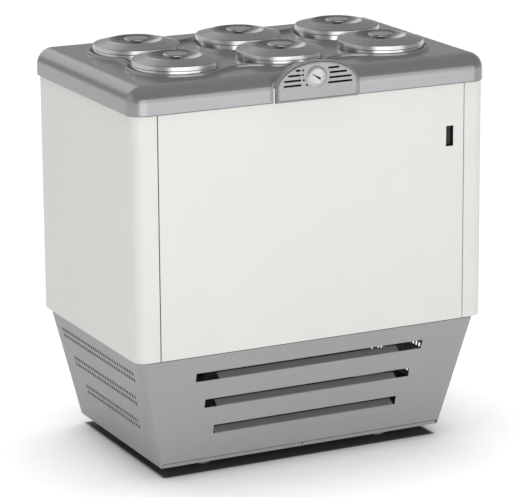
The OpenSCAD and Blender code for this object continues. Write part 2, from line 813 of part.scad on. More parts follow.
module base_front() {
    lip_y = face_y(floor_gap) + lip_back;
    lip_x = side_x(floor_gap) - lip_back - base_t;
    color(grey_paint) {
        difference() {
            wrapped_sheet();
            for (i = [0:slots - 1])
                on_front(slot_z(i)) translate([-slot_reach(i), -slot_h / 2, -base_t - over])
                    cube([2 * slot_reach(i), slot_h, base_t + 2 * over]);
            // The lip takes the place of the sheet's bottom edge along the front
            translate([-side_x(floor_gap) + base_wrap / 4, front_y, floor_gap - over])
                cube([2 * side_x(floor_gap) - base_wrap / 2, base_front_bottom + base_t + over, lip_h + over]);
        }
        difference() {
            union() {
                translate([-lip_x, lip_y, floor_gap]) cube([2 * lip_x, base_t, lip_h + base_t]);
                translate([-lip_x, face_y(floor_gap + lip_h) + base_t / 2, floor_gap + lip_h])
                    cube([2 * lip_x, lip_y + base_t - face_y(floor_gap + lip_h) - base_t / 2, base_t]);
            }
            translate([0, lip_y - over, floor_gap + lip_h * 0.6]) rotate([-90, 0, 0])
                cylinder(h = base_t + 2 * over, r = lip_hole_r);
        }
        translate([-side_x(base_top) + corner_at(base_top), face_y(base_top) + base_t / 2, base_top - base_t])
            cube([2 * (side_x(base_top) - corner_at(base_top)), panel_flange, base_t]);
    }
}

// Rows of air holes in pairs, each pair shorter than the one above, in a sheet's own plane
module hole_groups(first_count, slope) {
    for (group = [0:2], row = [-0.5, 0.5]) {
        count = first_count - group * fewer_holes;
        v = -(group_first + group * group_pitch + row * row_pitch) / cos(slope);
        for (k = [0:count - 1])
            translate([(k - (count - 1) / 2) * hole_pitch - hole_w / 2, v - hole_h / 2])
                square([hole_w, hole_h]);
    }
}

// Side sheet in its own plane: u runs to the rear, v up the slope with 0 at the top edge
module side_sheet_plan() {
    front_top = face_y(base_top) + base_wrap + fit;
    front_low = face_y(floor_gap) + base_wrap + fit;
    difference() {
        polygon([[front_top, 0], [front_low, -side_slope_l], [base_rear_y, -side_slope_l], [base_rear_y, 0]]);
        translate([top_mid + side_rows_back, 0]) hole_groups(side_holes, side_lean);
    }
}

module base_side(side) {
    color(grey_paint) mirror([side > 0 ? 1 : 0, 0, 0]) {
        difference() {
            translate([-side_x(base_top), 0, base_top]) rotate([0, -side_lean, 0]) rotate([90, 0, 90])
                linear_extrude(base_t) side_sheet_plan();
            // Level with the base's top, under the body's flange
            translate([-half_w, front_y, base_top]) cube([panel_flange, body_d, base_t]);
        }
        translate([-side_x(base_top) + base_t / 2, face_y(base_top) + base_wrap + fit, base_top - base_t])
            cube([panel_flange, base_rear_y - face_y(base_top) - base_wrap - fit, base_t]);
    }
}

module base_side_left() { base_side(-1); }
module base_side_right() { base_side(1); }

// Rear sheet: upright, between the two sides, ending at the deck so that air gets in below
module base_rear() {
    edge = base_t / cos(side_lean) + fit;
    top_x = side_x(base_top - base_t - fit) - edge;
    low_x = side_x(castor_h) - edge;
    color(grey_paint) difference() {
        translate([0, base_rear_y, base_top]) rotate([90, 0, 0]) linear_extrude(base_t) difference() {
            polygon([[-top_x, -base_t - fit], [-low_x, castor_h - base_top], [low_x, castor_h - base_top],
                     [top_x, -base_t - fit]]);
            hole_groups(rear_holes, 0);
        }
        translate([gland_at[0], base_rear_y + over, gland_at[1]]) rotate([90, 0, 0])
            cylinder(h = base_t + 2 * over, r = gland_r + fit);
    }
}

// Louvre blades: each leans back and up from a slot's lower edge, on a flange behind the sheet
blade_flange = 9;

module louvre_blades() {
    color(grey_paint) for (i = [0:slots - 1]) {
        z = slot_z(i);
        translate([-blade_l / 2, 0, 0]) on_front(z) rotate([90, 0, 90]) linear_extrude(blade_l) {
            low = -slot_h / 2;
            back = -base_t - fit;
            reach = blade_back * cos(front_lean) + blade_rise * sin(front_lean);
            rise = blade_rise * cos(front_lean) - blade_back * sin(front_lean);
            polygon([[low, back], [low, back - blade_t], [low + rise, back - reach],
                     [low + rise + blade_t, back - reach], [low + blade_t, back]]);
            translate([low - blade_flange, back - blade_t]) square([blade_flange, blade_t]);
        }
    }
}

// Deck that the machine stands on and the castors bolt under
window_l = 62;
window_w = 92;
window_gap = 16;

// Foot of the lowest blade's underside, from which the blade climbs to the rear
blade_foot_v = -slot_h / 2;
blade_foot_w = -base_t - fit - blade_t;
blade_foot_y = face_y(slot_z(slots - 1)) - blade_foot_v * sin(front_lean) - blade_foot_w * cos(front_lean);
blade_foot_z = slot_z(slots - 1) + blade_foot_v * cos(front_lean) - blade_foot_w * sin(front_lean);
// The deck starts behind the front sheet, and behind the lowest blade wherever that comes down to it
blade_over_deck = blade_foot_y + (deck_top + 2 * fit - blade_foot_z) * blade_back / blade_rise;
deck_front = max(face_y(castor_h) + (base_t + blade_t) / cos(front_lean) + 2 * fit,
                 min(blade_over_deck, blade_foot_y + blade_back + fit));

module deck() {
    x = side_x(castor_h) - base_t / cos(side_lean) - fit;
    y0 = deck_front;
    corner = corner_at(castor_h);
    y1 = base_rear_y - base_t - fit;
    color(grey_paint) translate([0, 0, castor_h]) difference() {
        translate([-x, y0]) linear_extrude(deck_t) round_rect(2 * x, y1 - y0, corner, 0);
        for (side = [-1, 1], k = [0:2])
            translate([side * (x - post_w - post_in - window_w / 2) - window_w / 2,
                       y1 - post_w - 2 * post_in - (k + 1) * window_l - k * window_gap, -over])
                cube([window_w, window_l, deck_t + 2 * over]);
    }
}

// Machine: places on the deck
foot_h = 18;
comp_at = [-175, rear_y - 160];
comp_plate_t = 3;
comp_plate_half = comp_r + 14;
comp_z = deck_top + foot_h;

module compressor() {
    dome = 30;
    color([0.10, 0.10, 0.11]) {
        translate([comp_at[0], comp_at[1], comp_z + comp_plate_t]) rotate_extrude() {
            square([comp_r, comp_h - dome]);
            translate([0, comp_h - dome]) square([comp_r - dome, dome]);
            translate([comp_r - dome, comp_h - dome]) intersection() {
                circle(dome);
                square(dome);
            }
        }
        translate([comp_at[0] - comp_plate_half, comp_at[1] - comp_plate_half, comp_z]) difference() {
            cube([2 * comp_plate_half, 2 * comp_plate_half, comp_plate_t]);
            for (x = [foot_in, 2 * comp_plate_half - foot_in], y = [foot_in, 2 * comp_plate_half - foot_in])
                translate([x, y, -over]) cylinder(h = comp_plate_t + 2 * over, r = foot_neck_r + fit);
        }
    }
}

foot_in = 14;
rubber_r = 12;
foot_neck_r = 6;

module compressor_feet() {
    color(black_rubber) for (sx = [-1, 1], sy = [-1, 1])
        translate([comp_at[0] + sx * (comp_plate_half - foot_in), comp_at[1] + sy * (comp_plate_half - foot_in),
                   deck_top]) {
            cylinder(h = foot_h, r = rubber_r);
            cylinder(h = foot_h + comp_plate_t + 2, r = foot_neck_r);
        }
}

cond_at = [-90, front_y + 175];
cond_end_t = 2;
tube_rows = 6;
tube_out = 10;

module condenser() {
    fin_w = cond_w - 2 * cond_end_t;
    color([0.75, 0.76, 0.77])
        translate([cond_at[0] - fin_w / 2, cond_at[1], deck_top + cond_end_t])
            cube([fin_w, cond_t, cond_h - 2 * cond_end_t]);
    color(grey_paint) difference() {
        translate([cond_at[0] - cond_w / 2, cond_at[1] - cond_end_t, deck_top])
            cube([cond_w, cond_t + cond_end_t, cond_h]);
        translate([cond_at[0] - fin_w / 2, cond_at[1] - cond_end_t - over, deck_top + cond_end_t])
            cube([fin_w, cond_t + cond_end_t + 2 * over, cond_h - 2 * cond_end_t]);
    }
    color(copper) for (side = [-1, 1], k = [0:tube_rows - 1])
        translate([cond_at[0] + side * cond_w / 2, cond_at[1] + cond_t / 2,
                   deck_top + cond_h * (k + 0.5) / tube_rows])
            rotate([0, side * 90, 0]) cylinder(h = tube_out, r = pipe_r + 1);
}

shroud_t = 1.5;
shroud_ring = 24;
fan_gap = 4;
fan_z = deck_top + cond_h / 2;
shroud_y = cond_at[1] + cond_t;

module fan_shroud() {
    color([0.15, 0.15, 0.15]) difference() {
        union() {
            translate([cond_at[0] - cond_w / 2, shroud_y, deck_top]) cube([cond_w, shroud_t, cond_h]);
            translate([cond_at[0], shroud_y, fan_z]) rotate([-90, 0, 0])
                cylinder(h = shroud_ring, r = fan_r + fan_gap + shroud_t);
        }
        translate([cond_at[0], shroud_y - over, fan_z]) rotate([-90, 0, 0])
            cylinder(h = shroud_ring + 2 * over, r = fan_r + fan_gap);
    }
}

shaft_r = 3;
hub_r = 24;
hub_l = 16;
fan_y = shroud_y + 4;
hub_clear = 3;
shaft_in = 24;
motor_y = fan_y + hub_l + hub_clear;
arm_w = 14;
arm_t = 3;
arm_back = 12;
pedestal_w = 60;
pedestal_d = 40;

// Motor behind the fan, on a pedestal that stands on the deck
module fan_motor() {
    color([0.20, 0.20, 0.21]) difference() {
        union() {
            translate([cond_at[0], motor_y, fan_z]) rotate([-90, 0, 0]) cylinder(h = motor_l, r = motor_r);
            translate([cond_at[0] - arm_w / 2, motor_y + arm_back, deck_top]) cube([arm_w, arm_t, fan_z - deck_top]);
            translate([cond_at[0] - pedestal_w / 2, motor_y + arm_back, deck_top])
                cube([pedestal_w, pedestal_d, arm_t]);
        }
        translate([cond_at[0], motor_y - over, fan_z]) rotate([-90, 0, 0])
            cylinder(h = shaft_in + 1 + over, r = shaft_r + running);
    }
}

fan_blade_w = 34;
fan_blade_t = 1.6;
fan_root = 4;

module fan_blades() {
    twist_angle = 28;
    color([0.85, 0.86, 0.87]) translate([cond_at[0], fan_y, fan_z]) rotate([-90, 0, 0]) {
        cylinder(h = hub_l, r = hub_r);
        cylinder(h = hub_l + hub_clear + shaft_in, r = shaft_r);
        intersection() {
            for (k = [0:fan_blades - 1])
                rotate([0, 0, k * 360 / fan_blades]) translate([hub_r - fan_root, 0, hub_l / 2])
                    rotate([twist_angle, 0, 0]) translate([0, -fan_blade_w / 2, -fan_blade_t / 2])
                        cube([fan_r, fan_blade_w, fan_blade_t]);
            cylinder(h = hub_l, r = fan_r);
        }
    }
}

drier_clear = 45;
drier_at = [cond_at[0] - cond_w / 2 - drier_clear, cond_at[1] + cond_t / 2];
drier_r = 11;
drier_l = 110;
drier_up = 60;
drier_end = 12;
drier_z = deck_top + drier_up;
strap_w = 4;
strap_t = 3;
strap_foot = 24;

// Filter drier: upright copper can with drawn-in ends, on a bracket
module filter_drier() {
    color(copper) translate([drier_at[0], drier_at[1], drier_z]) {
        cylinder(h = drier_l, r = drier_r);
        translate([0, 0, -drier_end]) cylinder(h = drier_end, r1 = pipe_r + 1, r2 = drier_r);
        translate([0, 0, drier_l]) cylinder(h = drier_end, r1 = drier_r, r2 = pipe_r + 1);
    }
    color(grey_paint) {
        translate([drier_at[0] - strap_w / 2, drier_at[1] + drier_r - 1, deck_top])
            cube([strap_w, strap_t, drier_up + drier_l / 3]);
        translate([drier_at[0] - strap_foot / 2, drier_at[1] + drier_r - 1, deck_top])
            cube([strap_foot, strap_foot, strap_t]);
    }
}

// Pipe along a list of points: straight runs with a slightly fuller ball at each bend
module pipe(points, r) {
    for (i = [0:len(points) - 2]) {
        run = points[i + 1] - points[i];
        flat_run = norm([run[0], run[1]]);
        translate(points[i]) rotate([0, atan2(flat_run, run[2]), atan2(run[1], run[0])])
            cylinder(h = norm(run), r = r, $fn = 32);
    }
    for (i = [1:1:len(points) - 2]) translate(points[i]) sphere(r = r + 0.4, $fn = 32);
}

// How far the discharge pipe climbs over the compressor, and steps aside
pipe_rise = 40;

module refrigerant_pipes() {
    comp_top = comp_z + comp_plate_t + comp_h;
    tube_x = cond_at[0] - cond_w / 2 - tube_out;
    tube_y = cond_at[1] + cond_t / 2;
    top_tube = deck_top + cond_h * (tube_rows - 0.5) / tube_rows;
    low_tube = deck_top + cond_h * 0.5 / tube_rows;
    discharge = [comp_at[0] - comp_r * 0.5, comp_at[1] - comp_r * 0.3];
    suction = [comp_at[0] + comp_r * 0.3, comp_at[1]];
    color(copper) {
        pipe([[discharge[0], discharge[1], comp_top], [discharge[0], discharge[1], comp_top + pipe_rise],
              [discharge[0] - pipe_rise, tube_y + drier_up, comp_top + pipe_rise],
              [discharge[0] - pipe_rise, tube_y, top_tube + pipe_rise],
              [tube_x - drier_end, tube_y, top_tube], [tube_x, tube_y, top_tube]], pipe_r);
        pipe([[tube_x, tube_y, low_tube], [drier_at[0], tube_y, low_tube],
              [drier_at[0], drier_at[1], drier_z - drier_end]], pipe_r);
        pipe([[drier_at[0], drier_at[1], drier_z + drier_l + drier_end], [drier_at[0], drier_at[1], foam_z]],
             pipe_r - 1);
        pipe([[suction[0], suction[1], comp_top], [suction[0], suction[1], foam_z]], pipe_r + 1);
    }
}

box_size = [130, 80, 95];
box_at = [110, rear_y - 130];

// Control box with a switch plate on its front
module control_box() {
    color([0.30, 0.31, 0.32]) translate([box_at[0], box_at[1], deck_top]) {
        cube(box_size);
        translate([box_size[0] / 2 - 20, -3, box_size[2] / 2 - 12]) cube([40, 3, 24]);
    }
}

gland_r = 9;
gland_lip = 4;
gland_lip_t = 6;
gland_in = 14;
gland_bore_r = 3.5;
gland_at = [box_at[0] + box_size[0] / 2, deck_top + box_size[2] / 2];

// Gland in the rear sheet where the mains lead enters
module cable_gland() {
    inside = base_rear_y - base_t;
    color(black_rubber) translate([gland_at[0], inside, gland_at[1]]) rotate([-90, 0, 0]) difference() {
        union() {
            translate([0, 0, base_t]) cylinder(h = gland_lip_t, r = gland_r + gland_lip);
            translate([0, 0, -gland_in]) cylinder(h = gland_in + base_t + 1, r = gland_r);
            translate([0, 0, -gland_lip_t]) cylinder(h = gland_lip_t, r = gland_r + gland_lip - 1);
        }
        translate([0, 0, -gland_in - over]) cylinder(h = gland_in + base_t + gland_lip_t + 2 * over, r = gland_bore_r);
    }
}

plate_l = 84;
plate_w = 66;

// Fixed part of the castors: plate under the deck, king pin and the nut that holds the fork
module castor_plates() {
    color([0.70, 0.71, 0.72]) for (at = castor_at) translate([at[0], at[1], 0]) {
        translate([-plate_l / 2, -plate_w / 2, castor_h - plate_thick]) cube([plate_l, plate_w, plate_thick]);
        translate([0, 0, crown_z - fit]) cylinder(h = castor_h - plate_thick - crown_z + fit, r = king_r);
        translate([0, 0, crown_z - fit - 4]) cylinder(h = 4, r = king_r + 4);
    }
}

// Fork: crown that turns on the king pin, two legs and the wheel's axle
module castor_fork(i) {
    at = castor_at[i];
    hub_top = castor_h - plate_thick - fit;
    color([0.70, 0.71, 0.72]) translate([at[0], at[1], 0]) mirror([at[2] < 0 ? 1 : 0, 0, 0]) {
        difference() {
            union() {
                translate([0, 0, crown_z]) cylinder(h = hub_top - crown_z, r = king_r + 12);
                translate([-20, -fork_half - fork_t, crown_z]) cube([46, 2 * (fork_half + fork_t), crown_t]);
            }
            translate([0, 0, crown_z - over]) cylinder(h = castor_h, r = king_r + running);
        }
        for (side = [0, 1])
            translate([0, side ? fork_half + fork_t : -fork_half, 0]) rotate([90, 0, 0]) linear_extrude(fork_t) {
                polygon([[-20, crown_z + crown_t], [-20, crown_z - 6], [trail - 11, axle_z],
                         [trail + 11, axle_z], [26, crown_z + crown_t]]);
                translate([trail, axle_z]) circle(11);
            }
        translate([trail, fork_half + fork_t + 3, axle_z]) rotate([90, 0, 0])
            cylinder(h = 2 * (fork_half + fork_t + 3), r = axle_r);
    }
}

module castor_wheel(i) {
    at = castor_at[i];
    tread = 4;
    color(black_rubber) translate([at[0] + at[2] * trail, at[1] + wheel_w / 2, axle_z]) rotate([90, 0, 0])
        rotate_extrude() difference() {
            union() {
                translate([axle_r + running, 0]) square([wheel_d / 2 - axle_r - running, wheel_w - tread / 2]);
                translate([axle_r + running, 0]) square([wheel_d / 2 - tread - axle_r, wheel_w]);
            }
            translate([axle_r + 8, -over]) square([wheel_d / 2 - axle_r - 18, 5 + over]);
            translate([axle_r + 8, wheel_w - 5]) square([wheel_d / 2 - axle_r - 18, 5 + over]);
            translate([wheel_d / 2 - tread / 2, -over]) square([tread, tread / 2 + over]);
        }
}

// Pan-head screw, head towards the child's +Z
module screw(length) {
    cylinder(h = 1.6, r = 4);
    translate([0, 0, -length]) cylinder(h = length, r = 2);
}

module screws() {
    lip_y = face_y(floor_gap) + lip_back;
    color([0.20, 0.20, 0.20]) {
        translate([0, lip_y + base_t - 0.4, floor_gap + lip_h * 0.6]) rotate([90, 0, 0]) cylinder(h = 0.4, r = lip_hole_r - 0.1);
        for (side = [-1, 1], z = [40, body_h / 2, body_h - 40])
            translate([side * (half_w - panel_flange - 14), rear_y, base_top + z]) rotate([-90, 0, 0])
                cylinder(h = 1.6, r = 4);
        for (side = [-1, 1], z = [25, base_h / 2 + 30])
            translate([side * (side_x(base_top - z) - 18), base_rear_y, base_top - z]) rotate([-90, 0, 0])
                cylinder(h = 1.6, r = 4);
    }
}

side_panel_left();
side_panel_right();
front_panel();
rear_panel();
finger_pull();
uprights();
worktop();
insulation();
rim_seals();
evaporator_jackets();
for (i = [0:5]) {
    well(i);
    lid(i);
    knob(i);
}
thermometer_plate();
thermometer_case();
thermometer_dial();
thermometer_needle();
thermometer_glass();
thermometer_bezel();
base_front();
base_side_left();
base_side_right();
base_rear();
louvre_blades();
deck();
compressor();
compressor_feet();
condenser();
fan_shroud();
fan_motor();
fan_blades();
filter_drier();
refrigerant_pipes();
control_box();
cable_gland();
castor_plates();
for (i = [0:3]) {
    castor_fork(i);
    castor_wheel(i);
}
screws();
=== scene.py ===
"""Looks of an ice cream counter: six round wells under lift-off lids, a white body and a tapered grey base.

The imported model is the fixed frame. Every class below is one sub-assembly of the counter. Sizes are in
millimetres, +Z is up, the front faces -Y, and a shape is turned into metres when its object is made.
"""
from __future__ import annotations

import logging
import math
from dataclasses import dataclass
from enum import Enum
from typing import Sequence

import bmesh
import bpy
import numpy as np
from mathutils import Matrix, Vector

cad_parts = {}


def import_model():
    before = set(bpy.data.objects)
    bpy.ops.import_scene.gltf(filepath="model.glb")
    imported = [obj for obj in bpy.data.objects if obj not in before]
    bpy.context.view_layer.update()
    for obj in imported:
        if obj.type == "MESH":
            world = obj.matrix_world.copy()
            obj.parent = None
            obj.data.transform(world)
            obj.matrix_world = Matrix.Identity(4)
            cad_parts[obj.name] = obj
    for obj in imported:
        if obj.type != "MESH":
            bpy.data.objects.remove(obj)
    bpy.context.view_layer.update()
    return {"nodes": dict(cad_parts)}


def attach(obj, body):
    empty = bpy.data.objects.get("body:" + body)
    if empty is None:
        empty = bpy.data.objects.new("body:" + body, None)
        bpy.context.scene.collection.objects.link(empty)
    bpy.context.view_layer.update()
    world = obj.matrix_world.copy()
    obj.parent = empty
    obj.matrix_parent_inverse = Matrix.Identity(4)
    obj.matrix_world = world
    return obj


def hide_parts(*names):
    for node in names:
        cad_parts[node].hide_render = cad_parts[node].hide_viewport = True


LOG = logging.getLogger("counter")
Array = np.ndarray
RGB = tuple[float, float, float]
Socket = bpy.types.NodeSocket

# Millimetres in a metre
MM = 1000.0
# Radius at which a turned profile starts, in place of the axis itself
AXIS_R = 0.01
# Signs of the two sides along X, and their names
SIDES = {-1: "left", 1: "right"}
# Mirror across the middle plane
MIRROR = np.array([-1, 1, 1])
# A mix node's sockets for colours
COLOUR_A, COLOUR_B, COLOUR_OUT = 6, 7, 2


class Body(str, Enum):
    """Bodies of the frame that pieces ride on, besides the numbered ones."""

    CABINET = "cabinet"
    NEEDLE = "needle"


class Axis(Enum):
    """Directions that a turned piece's axis may have."""

    UP = "up"
    FRONT = "front"


@dataclass(frozen=True)
class Sizes:
    """Sizes that more than one sub-assembly needs, as the frame has them."""

    body_w: float = 1014.0
    body_d: float = 616.0
    base_top: float = 343.0
    body_top: float = 986.0
    floor_gap: float = 28.0
    front_y: float = -299.75
    overhang: float = 5.5
    flat_z: float = 1058.0
    pitch_x: float = 299.3
    pitch_y: float = 247.3
    row_in: float = 200.8
    lid_r: float = 116.2
    lid_z: float = 1073.6
    seal_z: float = 1070.3
    bore_r: float = 104.0
    sheet_t: float = 1.2
    plate_y: float = -317.75
    plate_half: float = 115.0
    plate_side: float = 32.0
    plate_arch: float = 67.0
    arch_power: float = 0.94

    @property
    def half_w(self) -> float:
        """Half of the body's width."""
        return self.body_w / 2

    @property
    def rear_y(self) -> float:
        """Plane of the rear panel."""
        return self.front_y + self.body_d

    def well_at(self, number: int) -> tuple[float, float]:
        """Centre of a well.

        Args:
            number: 0 to 5, front row first, left to right.

        Returns:
            Its x and y.
        """
        row, column = divmod(number, 3)
        return (column - 1) * self.pitch_x, self.front_y + self.row_in + row * self.pitch_y


SIZES = Sizes()


def place(name: str, data: bpy.types.ID) -> bpy.types.Object:
    """Puts a new object in the scene, at the origin."""
    made = bpy.data.objects.new(name, data)
    bpy.context.scene.collection.objects.link(made)
    return made


class Nodes:
    """Short hand for building a node tree."""

    def __init__(self, owner: bpy.types.Material | bpy.types.World) -> None:
        """Starts on the tree of a new material, with its Principled shader, or of a new world."""
        owner.use_nodes = True
        self.owner = owner
        self.tree = owner.node_tree
        self.shader = self.tree.nodes.get("Principled BSDF")

    def plug(self, socket: Socket, value: object) -> None:
        """Links another node's output to a socket, or sets the socket's value."""
        if isinstance(value, Socket):
            self.tree.links.new(value, socket)
        else:
            socket.default_value = value

    def add(self, kind: str, inputs: dict | None = None, **settings: object) -> bpy.types.Node:
        """Adds a node.

        Args:
            kind: the node's type name, without what all of them start with.
            inputs: socket to a value, or to another node's output that feeds it.
            settings: attributes of the node.

        Returns:
            The node.
        """
        node = self.tree.nodes.new("ShaderNode" + kind)
        for key, value in settings.items():
            setattr(node, key, value)
        for key, value in (inputs or {}).items():
            self.plug(node.inputs[key], value)
        return node

    def set(self, **values: object) -> None:
        """Sets or links sockets of the shader, with underscores for spaces in their names."""
        for key, value in values.items():
            self.plug(self.shader.inputs[key.replace("_", " ")], value)

    def stretch(self, vector: Socket, scale: Sequence[float]) -> Socket:
        """A vector times a scale."""
        return self.add("Mapping", {"Vector": vector, "Scale": scale}).outputs["Vector"]

    def position(self, scale: Sequence[float] = (1, 1, 1)) -> Socket:
        """Point on the object in metres, stretched by a scale."""
        return self.stretch(self.add("TexCoord").outputs["Object"], scale)

    def noise(self, vector: Socket, scale: float, detail: float = 3.0, rough: float = 0.5) -> Socket:
        """Noise from 0 to 1 at a scale in features per metre."""
        inputs = {"Vector": vector, "Scale": scale, "Detail": detail, "Roughness": rough}
        return self.add("TexNoise", inputs).outputs["Fac"]

    def remap(self, value: Socket, low: float, high: float, start: float = 0.3, stop: float = 0.7,
              **settings: object) -> Socket:
        """Value carried from one range, start to stop, to another, low to high, clamped at its ends."""
        inputs = {"Value": value, "From Min": start, "From Max": stop, "To Min": low, "To Max": high}
        return self.add("MapRange", inputs, **settings).outputs["Result"]

    def calc(self, operation: str, first: object, second: object = 0.0) -> Socket:
        """Result of one arithmetic operation."""
        return self.add("Math", {0: first, 1: second}, operation=operation).outputs[0]

    def mix(self, factor: Socket, first: object, second: object) -> Socket:
        """Colour between two others."""
        inputs = {"Factor": factor, COLOUR_A: first, COLOUR_B: second}
        return self.add("Mix", inputs, data_type="RGBA").outputs[COLOUR_OUT]

    def bump(self, height: Socket, strength: float, distance: float) -> Socket:
        """Normal bent by a height."""
        inputs = {"Height": height, "Strength": strength, "Distance": distance}
        return self.add("Bump", inputs).outputs["Normal"]


@dataclass(frozen=True)
class Finish:
    """A finish: an even colour with slight mottling, uneven gloss and a fine surface texture."""

    name: str
    colour: RGB
    roughness: float = 0.4
    metallic: float = 0.0
    specular: float = 0.5
    mottle: float = 0.015
    mottle_scale: float = 6.0
    gloss_spread: float = 0.05
    grain_scale: float = 900.0
    grain: float = 0.05
    coat: float = 0.0

    def material(self) -> bpy.types.Material:
        """The finish's material, which is built the first time."""
        found = bpy.data.materials.get(self.name)
        if found:
            return found
        nodes = Nodes(bpy.data.materials.new(self.name))
        self.build(nodes)
        return nodes.owner

    def tint(self, factor: float) -> tuple[float, ...]:
        """The colour made darker or lighter by a factor, with full cover."""
        return (*(min(1.0, c * factor) for c in self.colour), 1)

    def lay(self, n: Nodes, cloud: Socket, gloss: Socket, height: Socket, depth: float,
            swing: float) -> None:
        """Sets the shader's colour, roughness and bump, each led by a noise.

        Args:
            n: the material's nodes.
            cloud: noise that leads the colour.
            gloss: noise that leads the roughness.
            height: noise that leads the bump.
            depth: the bump's height, in metres.
            swing: share by which the colour varies each way.
        """
        rough, spread = self.roughness, self.gloss_spread
        n.set(Base_Color=n.mix(n.remap(cloud, 0, 1), self.tint(1 - swing), self.tint(1 + swing)),
              Roughness=n.remap(gloss, rough - spread, rough + spread),
              Normal=n.bump(height, self.grain, depth), Metallic=self.metallic,
              Specular_IOR_Level=self.specular)

    def build(self, n: Nodes) -> None:
        """A broad noise leads the colour, a middle one the roughness and a fine one the bump."""
        at = n.position()
        self.lay(n, n.noise(at, self.mottle_scale, 4), n.noise(at, self.mottle_scale * 9),
                 n.noise(at, self.grain_scale, 2), 0.0004, self.mottle)
        if self.coat:
            n.set(Coat_Weight=self.coat, Coat_Roughness=0.12)


@dataclass(frozen=True)
class TurnedSteel(Finish):
    """Steel turned on a lathe: fine rings that follow the piece's own rings, read from its UV map."""

    rings: float = 900.0
    anisotropy: float = 0.55

    def build(self, n: Nodes) -> None:
        """Rings are noise along the second UV coordinate, stretched along the first."""
        uv = n.add("UVMap", uv_map="turned").outputs["UV"]
        lines = n.noise(n.stretch(uv, (3, self.rings * 4, 1)), 1.0, 3, 0.6)
        bands = n.noise(n.stretch(uv, (1, self.rings / 4, 1)), 1.0, 3, 0.6)
        self.lay(n, bands, lines, lines, 0.0002, self.mottle * 2)
        tangent = n.add("Tangent", direction_type="UV_MAP", uv_map="turned")
        n.set(Anisotropic=self.anisotropy, Tangent=tangent.outputs["Tangent"])


@dataclass(frozen=True)
class Brushed(Finish):
    """Sheet metal brushed along one direction."""

    along: RGB = (1.0, 60.0, 60.0)

    def build(self, n: Nodes) -> None:
        """Scratches are a fine noise stretched along the brushing direction."""
        scratch = n.noise(n.position(self.along), 40, 4, 0.65)
        self.lay(n, n.noise(n.position(), self.mottle_scale), scratch, scratch, 0.0002, self.mottle)


@dataclass(frozen=True)
class Clear(Finish):
    """Clear glass or plastic over the dial."""

    def build(self, n: Nodes) -> None:
        """A thin clear sheet with a faint uneven gloss."""
        n.set(Base_Color=(*self.colour, 1), Transmission_Weight=1.0, IOR=1.05, Specular_IOR_Level=0.3,
              Alpha=0.25, Roughness=n.remap(n.noise(n.position(), 40, 2), 0.02, 0.05))
        n.owner.blend_method = "BLEND"


